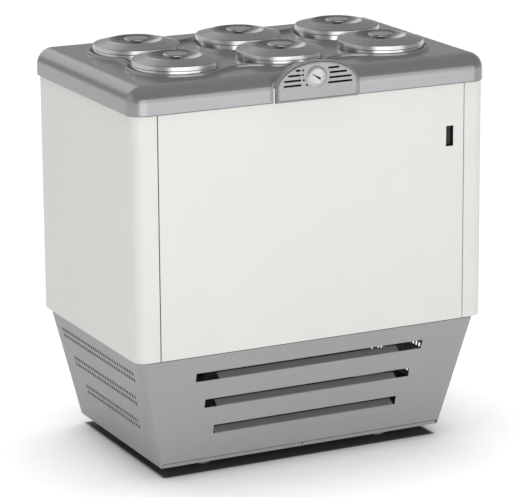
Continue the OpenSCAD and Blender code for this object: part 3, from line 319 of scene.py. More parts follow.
class Finishes:
    """All finishes of the counter."""

    WHITE = Finish("white_sheet_enamel", (0.785, 0.795, 0.755), 0.42, mottle=0.006, grain=0.04,
                   grain_scale=420)
    BASE = Finish("grey_base_enamel", (0.365, 0.365, 0.367), 0.50, mottle=0.012, grain=0.06, grain_scale=520)
    TOP = Finish("grey_satin_moulding", (0.288, 0.288, 0.297), 0.19, 0.50, 1.0, mottle=0.008, grain=0.03,
                 gloss_spread=0.03, grain_scale=500)
    LID = TurnedSteel("turned_lid_steel", (0.58, 0.58, 0.59), 0.24, 1.0, mottle=0.03, grain=0.10)
    COLLAR = TurnedSteel("turned_collar_steel", (0.60, 0.60, 0.61), 0.17, 1.0, mottle=0.02, grain=0.06)
    PLATE = Brushed("brushed_plate", (0.27, 0.27, 0.274), 0.28, 0.8, mottle=0.02, grain=0.08,
                    along=(2.0, 60.0, 90.0))
    RING = TurnedSteel("satin_ring", (0.52, 0.52, 0.53), 0.36, 0.5, mottle=0.01, grain=0.03, anisotropy=0.2)
    DIAL = Finish("white_dial", (0.68, 0.68, 0.67), 0.5, mottle=0.01, grain=0.0)
    INK = Finish("black_ink", (0.02, 0.02, 0.02), 0.5, mottle=0.0, grain=0.0)
    GREY_INK = Finish("grey_ink", (0.18, 0.18, 0.19), 0.5, mottle=0.0, grain=0.0)
    GLASS = Clear("dial_glass", (0.97, 0.98, 0.98))
    BLACK = Finish("black_moulded_plastic", (0.022, 0.022, 0.024), 0.45, mottle=0.05, grain=0.12,
                   grain_scale=1400)
    # black rubber for the compressor's feet and the cable gland, and the same black for the seam strips and,
    # as painted shade, for the strips under the skirt, over the base and at the lip
    RUBBER_AND_PAINTED_SHADE = Finish("rubber_and_painted_shade_black", (0.028, 0.028, 0.03), 0.62, mottle=0.08, grain=0.15,
                    grain_scale=1600)
    SEAL = Finish("grey_lid_seal", (0.13, 0.13, 0.135), 0.60, mottle=0.06, grain=0.12, grain_scale=1600)
    # painted shade: near-black colour for the deck, so that the inside of the base looks dark through its
    # openings
    SHADE = Finish("deck_black_painted_shade", (0.045, 0.045, 0.047), 0.62, mottle=0.05, grain=0.08, grain_scale=520)
    # painted shade: black for sheets put behind holes, where only shade is seen
    PITCH = Finish("black_painted_shade_sheet", (0.008, 0.008, 0.008), 0.9, specular=0.05, mottle=0.05, grain=0.2)
    # the base's grey made darker as painted shade, for the louvre blades seen inside the slots
    BLADE = Finish("louvre_grey_with_painted_shade", (0.23, 0.23, 0.232), 0.55, mottle=0.012, grain=0.06, grain_scale=520)
    SCREW = Finish("blackened_screw", (0.03, 0.03, 0.032), 0.45, 0.6, mottle=0.05)
    TREAD = Finish("grey_wheel_rubber", (0.30, 0.30, 0.305), 0.58, mottle=0.10, mottle_scale=30, grain=0.2,
                   grain_scale=1800)
    FOAM = Finish("poured_foam", (0.74, 0.62, 0.36), 0.85, mottle=0.08, mottle_scale=25, grain=0.6,
                  grain_scale=260)
    COPPER = Finish("copper_tube", (0.62, 0.31, 0.18), 0.34, 1.0, mottle=0.10, mottle_scale=30, grain=0.08)
    ZINC = Brushed("zinc_plated_sheet", (0.47, 0.48, 0.50), 0.38, 1.0, mottle=0.08, mottle_scale=18,
                   grain=0.08, gloss_spread=0.08)
    # black fin paint, made this dark also as painted shade for the inside of the base
    FINS = Brushed("black_fins_with_painted_shade", (0.035, 0.035, 0.037), 0.5, 0.3, mottle=0.05, grain=0.9,
                   along=(500.0, 1.0, 1.0))
    ENAMEL = Finish("black_shell_enamel", (0.018, 0.018, 0.02), 0.30, mottle=0.06, mottle_scale=20,
                    grain=0.10, grain_scale=500, coat=0.3)


def arc(centre: Sequence[float], radius: float, start: float, stop: float, steps: int) -> Array:
    """Points of an arc: the centre plus the radius times cosine and sine of the angle, in degrees."""
    a = np.radians(np.linspace(start, stop, steps + 1))
    return np.stack([centre[0] + radius * np.cos(a), centre[1] + radius * np.sin(a)], 1)


def circle(centre: Sequence[float], radius: float, steps: int) -> Array:
    """Points of a closed circle."""
    return arc(centre, radius, 0, 360, steps)[:-1]


def rect(x0: float, y0: float, x1: float, y1: float) -> list[list[float]]:
    """Corners of a rectangle, anticlockwise from its lower left."""
    return [[x0, y0], [x1, y0], [x1, y1], [x0, y1]]


def join(*parts: Array | Sequence[Sequence[float]]) -> Array:
    """One line of points from several, leaving out points that repeat."""
    line = np.concatenate([np.asarray(p, float).reshape(-1, 2) for p in parts])
    keep = np.append(True, np.linalg.norm(np.diff(line, axis=0), axis=1) > 1e-4)
    return line[keep]


def rounded(corners: Sequence[Sequence[float]], radii: Sequence[float], steps: int = 5,
            closed: bool = False) -> Array:
    """A line through corners, each cut by an arc that touches both of its sides.

    Args:
        corners: points of the line, in two coordinates.
        radii: radius at each corner, 0 where it stays sharp.
        steps: segments of each arc.
        closed: whether the line returns to its start.

    Returns:
        The points of the rounded line.
    """
    p = np.array(corners, float)
    out: list[Array] = []
    for k, radius in enumerate(radii):
        if radius <= 0 or (not closed and k in (0, len(p) - 1)):
            out.append(p[k:k + 1])
            continue
        back, ahead = p[k - 1] - p[k], p[(k + 1) % len(p)] - p[k]
        back, ahead = back / np.linalg.norm(back), ahead / np.linalg.norm(ahead)
        half = math.acos(float(np.clip(back @ ahead, -1, 1))) / 2
        reach = radius / math.tan(half)
        middle = p[k] + (back + ahead) / np.linalg.norm(back + ahead) * radius / math.sin(half)
        first, last = p[k] + back * reach - middle, p[k] + ahead * reach - middle
        a0, a1 = math.atan2(first[1], first[0]), math.atan2(last[1], last[0])
        sweep = (a1 - a0 + math.pi) % (2 * math.pi) - math.pi
        out.append(arc(middle, radius, math.degrees(a0), math.degrees(a0 + sweep), steps))
    return np.concatenate(out)


def level(plan: Sequence[Sequence[float]], z: float) -> Array:
    """Points of a plan put at a height."""
    return np.column_stack([plan, np.full(len(plan), z)])


def upright(view: Array, y: float, at: Sequence[float] = (0.0, 0.0)) -> Array:
    """Points of a front view, moved by x and z, put at a depth."""
    moved = view + np.array(at, float)
    return np.column_stack([moved[:, 0], np.full(len(view), y), moved[:, 1]])


def handed(plan: Array, sign: int) -> Array:
    """A left-hand outline as it is, or mirrored to the right with its sense kept."""
    return plan if sign < 0 else plan[::-1] * MIRROR[:plan.shape[1]]


def strip(path: Array, thick: float) -> Array:
    """Closed plan of a bent sheet: the path, and the path stepped to its left by the thickness."""
    tangent = np.gradient(path, axis=0)
    tangent /= np.linalg.norm(tangent, axis=1, keepdims=True)
    left = np.stack([-tangent[:, 1], tangent[:, 0]], 1)
    return np.concatenate([path, (path + left * thick)[::-1]])


class Shape:
    """A mesh gathered from grids and filled outlines, in millimetres."""

    def __init__(self) -> None:
        """Starts an empty shape."""
        self.points: list[Array] = []
        self.faces: list[tuple[int, ...]] = []
        self.uvs: list[tuple[float, float]] = []
        self.count = 0

    def grid(self, points: Array, wrap: bool = False, flip: bool = False,
             along: Array | None = None) -> "Shape":
        """Adds a surface given on a grid of two parameters.

        Args:
            points: rows by columns by three.
            wrap: whether the last column joins the first.
            flip: whether the faces are turned round.
            along: distance of each row along the surface, in millimetres, for the UV map.

        Returns:
            This shape.
        """
        rows, columns = points.shape[:2]
        last = columns if wrap else columns - 1
        i, j = [a.ravel() for a in np.meshgrid(np.arange(rows - 1), np.arange(last), indexing="ij")]
        here, below, nj = i * columns, (i + 1) * columns, (j + 1) % columns
        quads = np.stack([here + j, here + nj, below + nj, below + j], 1) + self.count
        v = np.arange(rows, dtype=float) if along is None else along / MM
        corners = np.stack([np.stack([j, j + 1, j + 1, j], 1) / columns,
                            np.stack([v[i], v[i], v[i + 1], v[i + 1]], 1)], 2)
        if flip:
            quads, corners = quads[:, ::-1], corners[:, ::-1]
        self.points.append(points.reshape(-1, 3))
        self.faces.extend(map(tuple, quads.tolist()))
        self.uvs.extend(map(tuple, corners.reshape(-1, 2).tolist()))
        self.count += rows * columns
        return self

    def lathe(self, profile: Array, centre: Sequence[float], axis: Axis = Axis.UP, steps: int = 128,
              flip: bool = False) -> "Shape":
        """Adds a profile turned round an axis: radius times cosine and sine across, height along it.

        Args:
            profile: radius and height of each point.
            centre: where the axis passes at height 0.
            axis: the way the height runs.
            steps: segments round the axis.
            flip: whether the faces are turned round.

        Returns:
            This shape.
        """
        a = np.linspace(0, 2 * np.pi, steps, endpoint=False)
        r, h = profile[:, :1], np.broadcast_to(profile[:, 1:], (len(profile), steps))
        u, v = r * np.cos(a), r * np.sin(a)
        points = np.stack([u, v, h] if axis is Axis.UP else [u, -h, v], 2) + np.array(centre, float)
        along = np.append(0, np.cumsum(np.linalg.norm(np.diff(profile, axis=0), axis=1)))
        return self.grid(points, True, flip, along)

    def fill(self, loops: Sequence[Array], normal: Sequence[float]) -> "Shape":
        """Fills a flat region between an outline and the outlines of its holes.

        Args:
            loops: closed loops of points, each points by three.
            normal: the way the face looks.

        Returns:
            This shape.
        """
        mesh = bmesh.new()
        edges = []
        for loop in loops:
            made = [mesh.verts.new(p) for p in loop]
            edges += [mesh.edges.new((a, b)) for a, b in zip(made, made[1:] + made[:1])]
        bmesh.ops.triangle_fill(mesh, use_beauty=True, edges=edges, normal=Vector(normal))
        mesh.verts.index_update()
        mesh.faces.ensure_lookup_table()
        points = np.array([v.co for v in mesh.verts])
        for face in mesh.faces:
            face.normal_update()
            corners = [v.index + self.count for v in face.verts]
            if face.normal.dot(Vector(normal)) < 0:
                corners.reverse()
            self.faces.append(tuple(corners))
            self.uvs.extend([(0.0, 0.0)] * len(corners))
        self.points.append(points)
        self.count += len(points)
        mesh.free()
        return self

    def plate(self, loops: Sequence[Array], offset: Sequence[float]) -> "Shape":
        """Adds a flat plate: a filled outline, the same at an offset, and the walls between.

        Args:
            loops: the outline and its holes, on the plate's front.
            offset: from the front to the back.

        Returns:
            This shape.
        """
        away = np.array(offset, float)
        self.fill(loops, -away)
        self.fill([loop + away for loop in loops], away)
        for number, loop in enumerate(loops):
            area = np.cross(loop, np.roll(loop, -1, 0)).sum(0) @ away
            outward = (area > 0) if number == 0 else (area < 0)
            self.grid(np.stack([loop, loop + away]), wrap=True, flip=not outward)
        return self

    def prism(self, plan: Sequence[Sequence[float]], z0: float, z1: float, chamfer: float = 0.25) -> "Shape":
        """Adds an upright wall of any plan, with its upper and lower edges broken.

        The plan is stepped in by the chamfer at both ends along its own normals.

        Args:
            plan: closed plan, anticlockwise, points by two.
            z0: its foot.
            z1: its top.
            chamfer: size of the broken edge.

        Returns:
            This shape.
        """
        outline = np.array(plan, float)
        tangent = np.roll(outline, -1, 0) - np.roll(outline, 1, 0)
        normal = np.stack([tangent[:, 1], -tangent[:, 0]], 1)
        normal /= np.maximum(np.linalg.norm(normal, axis=1, keepdims=True), 1e-9)
        inner = outline - normal * chamfer
        rings = [(inner, z0), (outline, z0 + chamfer), (outline, z1 - chamfer), (inner, z1)]
        grid = np.stack([level(p, z) for p, z in rings])
        return self.grid(grid, wrap=True).fill([grid[0]], (0, 0, -1)).fill([grid[-1]], (0, 0, 1))

    def object(self, name: str, finish: Finish, slot: str, replaces: Sequence[str] = (), sharp: float = 32.0,
               body: str = Body.CABINET, recalc: bool = False) -> bpy.types.Object:
        """Makes the object, at the origin and in metres.

        Args:
            name: the piece's name.
            finish: what it is made of.
            slot: name of a material slot; not used.
            replaces: nodes that it stands for.
            sharp: angle past which an edge is sharp, in degrees.
            body: the body that it rides on.
            recalc: whether the faces are made to point outwards after the doubles are merged.

        Returns:
            The object.
        """
        mesh = bpy.data.meshes.new(name)
        mesh.from_pydata((np.concatenate(self.points) / MM).tolist(), [], self.faces)
        layer = mesh.uv_layers.new(name="turned")
        layer.data.foreach_set("uv", np.array(self.uvs, float).ravel())
        work = bmesh.new()
        work.from_mesh(mesh)
        bmesh.ops.remove_doubles(work, verts=work.verts, dist=2e-6)
        bmesh.ops.dissolve_degenerate(work, edges=work.edges, dist=1e-7)
        if recalc:
            bmesh.ops.recalc_face_normals(work, faces=work.faces)
        work.to_mesh(mesh)
        work.free()
        mesh.shade_smooth()
        mesh.set_sharp_from_angle(angle=math.radians(sharp))
        mesh.materials.append(finish.material())
        piece = place(name, mesh)
        piece.modifiers.new("normals", "WEIGHTED_NORMAL").keep_sharp = True
        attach(piece, body)
        if replaces:
            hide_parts(*replaces)
        LOG.info("%s: %d faces on %s", name, len(mesh.polygons), body)
        return piece


@dataclass
class Worktop:
    """The grey moulding on top: skirt, rounded edge, flat, and the wavy ridge round the lids.

    The foot's steps are inset and height. The ridge's section is distance from its crest and height, with
    the radius at each point. The rim round the plate is distance behind its face, and how much wider and
    taller than the plate.
    """

    height: float = 72.0
    edge_r: float = 43.0
    corner_r: float = 45.0
    wall: float = 4.0
    wall_h: float = 20.0
    foot: tuple = ((1.2, 0.0), (0.35, 0.35), (0.0, 1.2), (0.0, 1.8))
    ridge: tuple = ((-10.5, 0), (-6.5, 0), (-3.5, 8.0), (2.8, 8.0), (4.2, 0), (10.2, 0))
    ridge_radii: tuple = (0, 2.0, 2.6, 2.6, 2.0, 0)
    ridge_r: float = 127.0
    wave_r: float = 105.0
    tuck_r: float = 85.0
    bore_r: float = 105.3
    step: float = 2.2
    shade_line_in: float = 2.6
    shade_line_h: float = 1.4
    rim: tuple = ((6.0, 1.0, 0.8), (0.4, 1.0, 0.8), (0.0, 1.5, 1.3), (0.1, 2.5, 2.4), (0.7, 3.0, 3.0))
    flare: float = 9.0
    flare_drop: float = 0.4
    tail_half: float = 74.0
    tail_top: float = 79.0
    straight: float = 0.12

    def edge_loop(self, inset: float, rear: float = 0.0) -> Array:
        """Plan of the outline, stepped in at its front and sides by one distance and at its rear by another.

        The front corners are quarter circles about fixed centres, and the rear corners are square.
        """
        w, front = SIZES.half_w + SIZES.overhang, SIZES.front_y - SIZES.overhang
        back = SIZES.rear_y + SIZES.overhang - rear
        r = self.corner_r
        right = arc((w - r, front + r), r - inset, -90, 0, 24)
        left = arc((r - w, front + r), r - inset, 180, 270, 24)
        return np.concatenate([right, [[w - inset, back], [inset - w, back]], left])

    def ridge_line(self) -> tuple[Array, Array]:
        """The ridge's crest: arcs round the lids joined by bends that turn the other way.

        Returns:
            Points of the crest, and at each the direction that faces away from the lids.
        """
        order = [0, 1, 2, 5, 4, 3]
        bends = [self.wave_r, self.wave_r, self.tuck_r] * 2
        centre = [np.array(SIZES.well_at(i)) for i in order]
        middle = []
        for k in range(6):
            a, b = centre[k], centre[(k + 1) % 6]
            along = b - a
            half = np.linalg.norm(along) / 2
            reach = math.sqrt((self.ridge_r + bends[k]) ** 2 - half ** 2)
            middle.append((a + b) / 2 + reach * np.array([along[1], -along[0]]) / np.linalg.norm(along))
        points, outward = [], []
        for k in range(6):
            for hub, start, stop, radius, sign in (
                    (centre[k], middle[k - 1], middle[k], self.ridge_r, 1),
                    (middle[k], centre[k], centre[(k + 1) % 6], bends[k], -1)):
                a0, a1 = (math.atan2(*(p - hub)[::-1]) for p in (start, stop))
                sweep = (sign * (a1 - a0)) % (2 * math.pi)
                steps = math.ceil(math.degrees(sweep) / self.step)
                a = a0 + sign * np.linspace(0, sweep, steps, endpoint=False)
                d = np.stack([np.cos(a), np.sin(a)], 1)
                points.append(hub + radius * d)
                outward.append(sign * d)
        return np.concatenate(points), np.concatenate(outward)

    def build(self) -> None:
        """Makes the moulding: the edge, the ridge and the flats between them share their borders."""
        base, flat, r = SIZES.body_top, SIZES.flat_z, self.edge_r
        skirt_top = base + self.height - r
        rows = [(self.wall, self.wall, base + self.wall_h), (self.wall, self.wall, base)]
        rows += [(inset, inset, base + up) for inset, up in self.foot]
        rows += [(0.0, 0.0, skirt_top - 1), (0.0, 0.0, skirt_top)]
        rows += [(r - r * math.cos(a), 0.0, flat - r + r * math.sin(a))
                 for a in np.radians(np.linspace(0, 90, 21)[1:])]
        edge = np.stack([level(self.edge_loop(inset, rear), z) for inset, rear, z in rows])
        crest, outward = self.ridge_line()
        section = rounded(self.ridge, self.ridge_radii, 7)
        band = crest[None] + section[:, :1, None] * outward[None]
        height = np.broadcast_to(flat + section[:, 1][:, None, None], (*band.shape[:2], 1))
        ridge = np.concatenate([band, height], 2)
        shape = Shape().grid(edge, wrap=True).grid(ridge, wrap=True, flip=True)
        shape.fill([edge[-1], ridge[-1]], (0, 0, 1))
        bores = [level(circle(SIZES.well_at(i), self.bore_r, 96), flat) for i in range(6)]
        for bore in bores:
            shape.grid(np.stack([bore, bore - [0, 0, self.wall]]), wrap=True)
        shape.fill([ridge[0], *bores], (0, 0, 1))
        shape.object("worktop_moulding", Finishes.TOP, "grey_moulding", ["worktop"], 40)
        self.shoulder()
        # painted shade: a thin black strip just under the skirt's edge, where the moulding overhangs the body
        shade_line, shade_line_top = self.edge_loop(self.shade_line_in, self.shade_line_in), SIZES.body_top - 0.1
        Shape().prism(shade_line, shade_line_top - self.shade_line_h, shade_line_top, 0.1).object(
            "skirt_painted_shade_line", Finishes.RUBBER_AND_PAINTED_SHADE, "black_rubber")

    def shoulder(self) -> None:
        """The moulding round the thermometer: arched slices that flare back on to the skirt and then
        run down to the ridge."""
        skirt = SIZES.front_y - SIZES.overhang
        back = SIZES.front_y + SIZES.row_in - self.ridge_r
        half, top = SIZES.plate_half, SIZES.plate_side + SIZES.plate_arch
        slices = [(SIZES.plate_y + behind, half + wider, top + taller) for behind, wider, taller in self.rim]
        start, half, top = slices[-1]
        for t in np.linspace(0.1, 1, 12):
            slices.append((start + (skirt - start) * t, half + self.flare * t ** 2.2,
                           top - self.flare_drop * t))
        _, half, top = slices[-1]
        for t in np.linspace(0.05, 1, 14):
            slices.append((skirt + (back - skirt) * t, half - (half - self.tail_half) * t,
                           top - (top - self.tail_top) * t ** 1.25))
        rows = [upright(self.arch(half, top), y, (0, SIZES.body_top)) for y, half, top in slices]
        Shape().grid(np.stack(rows)).object("thermometer_shoulder", Finishes.TOP, "grey_moulding", (), 50)

    def arch(self, half: float, top: float) -> Array:
        """Arch from the left foot over to the right: straight sides, then a near-elliptical top."""
        u, share, side = np.linspace(0, 1, 97), self.straight, SIZES.plate_side
        low = np.clip(u / share, 0, 1) * side
        high = np.clip((1 - u) / share, 0, 1) * side
        a = np.pi * (1 - np.clip((u - share) / (1 - 2 * share), 0, 1))
        over = np.sin(a) ** SIZES.arch_power * ((u > share) & (u < 1 - share))
        return np.column_stack([half * np.cos(a), np.minimum(low, high) + (top - side) * over])


@dataclass
class Lids:
    """Six lids with their knobs, and the wells' collars below them."""

    rim_h: float = 8.9
    rim_lean: float = 2.2
    lip: float = 2.6
    lip_t: float = 1.5
    rise: float = 11.0
    dish_r: float = 71.0
    dish_depth: float = 20.0
    dish_flat_r: float = 35.0
    plug_r: float = 101.0
    plug_h: float = 27.0
    knob_r: float = 33.0
    knob_t: float = 7.0
    knob_up: float = 14.0
    stem_r: float = 13.0
    collar_r: float = 115.4
    seat_w: float = 6.0
    well_depth: float = 500.0
    floor_r: float = 12.0

    def lid_profile(self) -> Array:
        """Radius and height of the lid from the plug's middle out, over the rim and into the dish."""
        r, h, low = SIZES.lid_r, self.rim_h, -self.plug_h
        crest = h + self.rise
        deep, flat = self.dish_depth, self.dish_flat_r
        bend = ((self.dish_r - flat) ** 2 + deep ** 2) / (2 * deep)
        stop = math.degrees(math.asin((self.dish_r - flat) / bend))
        dish = arc((flat, crest - deep + bend), bend, 270 + stop - 2, 270, 14)
        outside = rounded([[AXIS_R, low], [self.plug_r, low], [self.plug_r, 0], [r - self.lip_t - 0.3, 0],
                           [r - self.lip_t, -self.lip], [r, -self.lip], [r - self.rim_lean, h],
                           [self.dish_r, crest], [self.dish_r - 4, crest - 2.2]],
                          [0, 3, 1, 0.3, 0.4, 0.6, 2.2, 1.6, 0], 5)[:-1]
        return join(outside, dish, [[AXIS_R, crest - deep]])

    def knob_profile(self) -> Array:
        """Radius and height of the knob from its stem out, round the disc's edge and over a shallow top."""
        foot = SIZES.lid_z + self.rim_h + self.rise - self.dish_depth
        top = SIZES.lid_z + self.rim_h + self.knob_up
        low, r, stem = top - self.knob_t, self.knob_r, self.stem_r
        edge = rounded([[stem + 1.5, low], [r, low], [r - 0.8, top], [r - 6, top]], [0, 3.3, 3.2, 0], 8)
        return join([[stem + 2, foot], [stem + 0.6, foot + 0.7], [stem, foot + 2], [stem, low - 1.5]], edge,
                    [[r - 7.0, top - 0.5], [r - 9, top - 0.7], [AXIS_R, top - 0.5]])

    def well_profile(self) -> Array:
        """Radius and height of a well: up its outside, out along the collar's foot, round the band,
        over its seal seat and down the inside to the floor."""
        seal, bore, flat, r = SIZES.seal_z, SIZES.bore_r, SIZES.flat_z, self.floor_r
        floor = seal - self.well_depth
        collar = rounded([[bore + 1, flat], [self.collar_r + 1.4, flat], [self.collar_r - 1.0, seal],
                          [self.collar_r - self.seat_w, seal]], [0, 0.4, 1.2, 0], 6)
        return join([[AXIS_R, floor - 1], [bore - r, floor - 1]],
                    arc((bore - r + 1, floor + r - 1), r, 270, 360, 6), collar,
                    arc((bore + 2, seal - 2), 2, 90, 180, 4),
                    arc((bore - r, floor + r), r, 360, 270, 8), [[AXIS_R, floor]])

    def build(self) -> None:
        """Makes each lid, knob and well as a turned surface."""
        for i in range(6):
            x, y = SIZES.well_at(i)
            body = f"lid_{i + 1}_body"
            Shape().lathe(self.lid_profile(), (x, y, SIZES.lid_z)).object(
                f"turned_lid_{i + 1}", Finishes.LID, "stainless", [f"lid_{i + 1}"], 28, body)
            Shape().lathe(self.knob_profile(), (x, y, 0), steps=72).object(
                f"turned_knob_{i + 1}", Finishes.COLLAR, "stainless", [f"knob_{i + 1}"], 40, body)
            Shape().lathe(self.well_profile(), (x, y, 0)).object(
                f"drawn_well_{i + 1}", Finishes.COLLAR, "stainless", [f"well_{i + 1}"], 35)


@dataclass
class Thermometer:
    """The slotted arched plate with its dial, needle, glass and ring.

    A slot is its two ends along X. Marks are half width and length, of a long and a short one.
    """

    thick: float = 1.2
    bead: float = 5.0
    bead_h: float = 1.8
    backing: float = 8.0
    dial_x: float = -4.5
    dial_z: float = 59.5
    dial_r: float = 19.5
    ring_r: float = 29.0
    ring_proud: float = 7.5
    glass_in: float = 1.4
    face_proud: float = 4.5
    needle_turn: float = 60.0
    needle_t: float = 0.7
    slot_h: float = 5.2
    dot_r: float = 3.0
    left_edges: tuple = ((-98.7, -46.5), (-97.2, -47.4), (-85.5, -48.7), (-64.0, -49.6))
    right_edges: tuple = ((28.7, 99.5), (32.5, 97.6), (33.5, 84.0), (29.5, 62.0))
    slot_z: tuple = (41.4, 54.1, 67.3, 79.7)
    dots: tuple = ((-31.4, 40.6), (-40.4, 53.4), (-43.0, 67.3), (-42.6, 79.4))
    marks: tuple = ((0.45, 3.8), (0.22, 2.2))
    mark_in: float = 2.1
    blade: tuple = ((-1.7, -1.0), (1.7, -1.0), (0.8, 15.2), (0.0, 16.2), (-0.8, 15.2))
    tail: tuple = ((-3.0, -11), (3.0, -11), (2.2, 2), (-2.2, 2))
    hub: tuple = ((AXIS_R, 0.7), (1.6, 0.6), (2.4, 0.2), (2.5, -0.8), (AXIS_R, -0.8))
    clip_at: tuple[float, float] = (-122.5, 6.0)

    @property
    def middle(self) -> tuple[float, float]:
        """X and Z of the dial's middle."""
        return self.dial_x, SIZES.body_top + self.dial_z

    def outline(self, inset: float, y: float) -> Array:
        """The plate's arch stepped in, anticlockwise as seen from the front, at a depth."""
        a = np.radians(np.linspace(0, 180, 73))
        half = SIZES.plate_half - inset
        z = SIZES.plate_side + (SIZES.plate_arch - inset) * np.sin(a) ** SIZES.arch_power
        flat = np.concatenate([np.column_stack([half * np.cos(a), z]), [[-half, inset], [half, inset]]])
        return upright(flat, y, (0, SIZES.body_top))

    def slot(self, x0: float, x1: float, z: float) -> Array:
        """A slot with round ends."""
        r = self.slot_h / 2
        return join(arc((x1 - r, z), r, -90, 90, 6), arc((x0 + r, z), r, 90, 270, 6))

    def build_plate(self) -> None:
        """The plate with its slots, its rolled bead, and behind it a black sheet that paints the shade seen
        through the slots.
        """
        y = SIZES.plate_y
        holes = [self.slot(*edge, z) for edges in (self.left_edges, self.right_edges)
                 for edge, z in zip(edges, self.slot_z)]
        holes += [circle(at, self.dot_r, 16) for at in self.dots]
        holes.append(circle((self.dial_x, self.dial_z), self.dial_r + 3, 64))
        cuts = [upright(hole, y, (0, SIZES.body_top)) for hole in holes]
        shape = Shape().plate([self.outline(0.1, y), *cuts], (0, self.thick, 0))
        rows = [self.outline(0.0, y + 4.0)]
        for t in np.radians(np.linspace(0, 180, 11)):
            inset = self.bead / 2 - self.bead / 2 * math.cos(t)
            rows.append(self.outline(inset, y - self.bead_h * math.sin(t)))
        shape.grid(np.stack(rows), wrap=True)
        shape.object("slotted_plate", Finishes.PLATE, "plate_metal", ["thermometer_plate"], 45)
        # painted shade: a black sheet behind the slots
        Shape().fill([self.outline(3, y + self.backing)], (0, -1, 0)).object(
            "plate_painted_shade_backing", Finishes.PITCH, "black_plastic", (), 45)

    def turn(self, name: str, profile: Array, finish: Finish, slot: str, node: str, steps: int = 72,
             sharp: float = 40.0) -> None:
        """Makes a piece turned round the dial's axis, with heights measured forwards from the plate.

        Args:
            name: the piece's name.
            profile: radius and height of each point.
            finish: what it is made of.
            slot: its material slot.
            node: the node that it stands for.
            steps: segments round the axis.
            sharp: angle past which an edge is sharp, in degrees.
        """
        x, z = self.middle
        Shape().lathe(profile, (x, SIZES.plate_y, z), Axis.FRONT, steps, True).object(
            name, finish, slot, [node], sharp)

    def build_dial(self) -> None:
        """The dial face with plain tick marks, the glass and the ring."""
        r, face, front = self.dial_r, self.face_proud, self.ring_proud
        disc = join([[AXIS_R, face], [r + 1.5, face], [r + 1.5, face - 1], [AXIS_R, face - 1]])
        self.turn("dial_face", disc, Finishes.DIAL, "dial_white", "thermometer_dial", sharp=32.0)
        marks = Shape()
        for k, angle in enumerate(np.radians(np.arange(-45, 226, 9.0))):
            wide, long = self.marks[0 if k % 5 == 0 else 1]
            out = np.array([math.cos(angle), math.sin(angle)])
            side = np.array([-out[1], out[0]]) * wide
            tip, root = out * (r - self.mark_in), out * (r - self.mark_in - long)
            flat = np.array([tip - side, tip + side, root + side, root - side])
            marks.fill([upright(flat, SIZES.plate_y - face - 0.05, self.middle)], (0, -1, 0))
        marks.object("dial_marks", Finishes.GREY_INK, "dial_white")
        ring = rounded([[r + 1.6, -2.0], [r + 1.4, front - 1], [r, front], [r + 2.8, front],
                        [self.ring_r, 1.2], [self.ring_r, 0.0], [r + 1.6, -2.0]],
                       [0, 0, 0.5, 3.4, 1.0, 0, 0], 8)
        self.turn("dial_ring", join(ring), Finishes.RING, "bezel_chrome", "thermometer_bezel", 96)
        lens = front - self.glass_in
        glass = join([[AXIS_R, lens + 0.9], [12, lens + 0.7], [r + 0.8, lens], [r + 0.8, lens - 1],
                      [AXIS_R, lens - 1]])
        self.turn("dial_glass", glass, Finishes.GLASS, "clear", "thermometer_glass")

    def build_clip(self) -> None:
        """A small upright barrel at the plate's left foot that holds it to the moulding."""
        barrel = join([[AXIS_R, 2], [3.1, 2]], arc((2.3, 39.2), 0.8, 0, 90, 4),
                      [[1.9, 40], [1.8, 30], [AXIS_R, 30]])
        x, behind = self.clip_at
        Shape().lathe(barrel, (x, SIZES.plate_y + behind, SIZES.body_top), steps=32).object(
            "plate_clip", Finishes.ZINC, "plate_metal", (), 40)

    def build_needle(self) -> None:
        """A tapered pointer with a broad tail and a round hub, turned up and to the left."""
        a = math.radians(self.needle_turn)
        turn = np.array([[math.cos(a), math.sin(a)], [-math.sin(a), math.cos(a)]])
        x, z = self.middle
        y = SIZES.plate_y - self.face_proud - 1.3
        tail = rounded(self.tail, [1.6, 1.6, 0, 0], 4, True)
        shape = Shape()
        for flat, ahead in ((np.array(self.blade), 0.0), (tail, 0.02)):
            shape.plate([upright(flat @ turn, y - ahead, (x, z))], (0, self.needle_t, 0))
        shape.lathe(np.array(self.hub), (x, y, z), Axis.FRONT, 32, True)
        shape.object("needle", Finishes.INK, "needle_black", ["thermometer_needle"], 40, Body.NEEDLE)

    def build(self) -> None:
        """Makes the whole thermometer."""
        self.build_plate()
        self.build_dial()
        self.build_clip()
        self.build_needle()


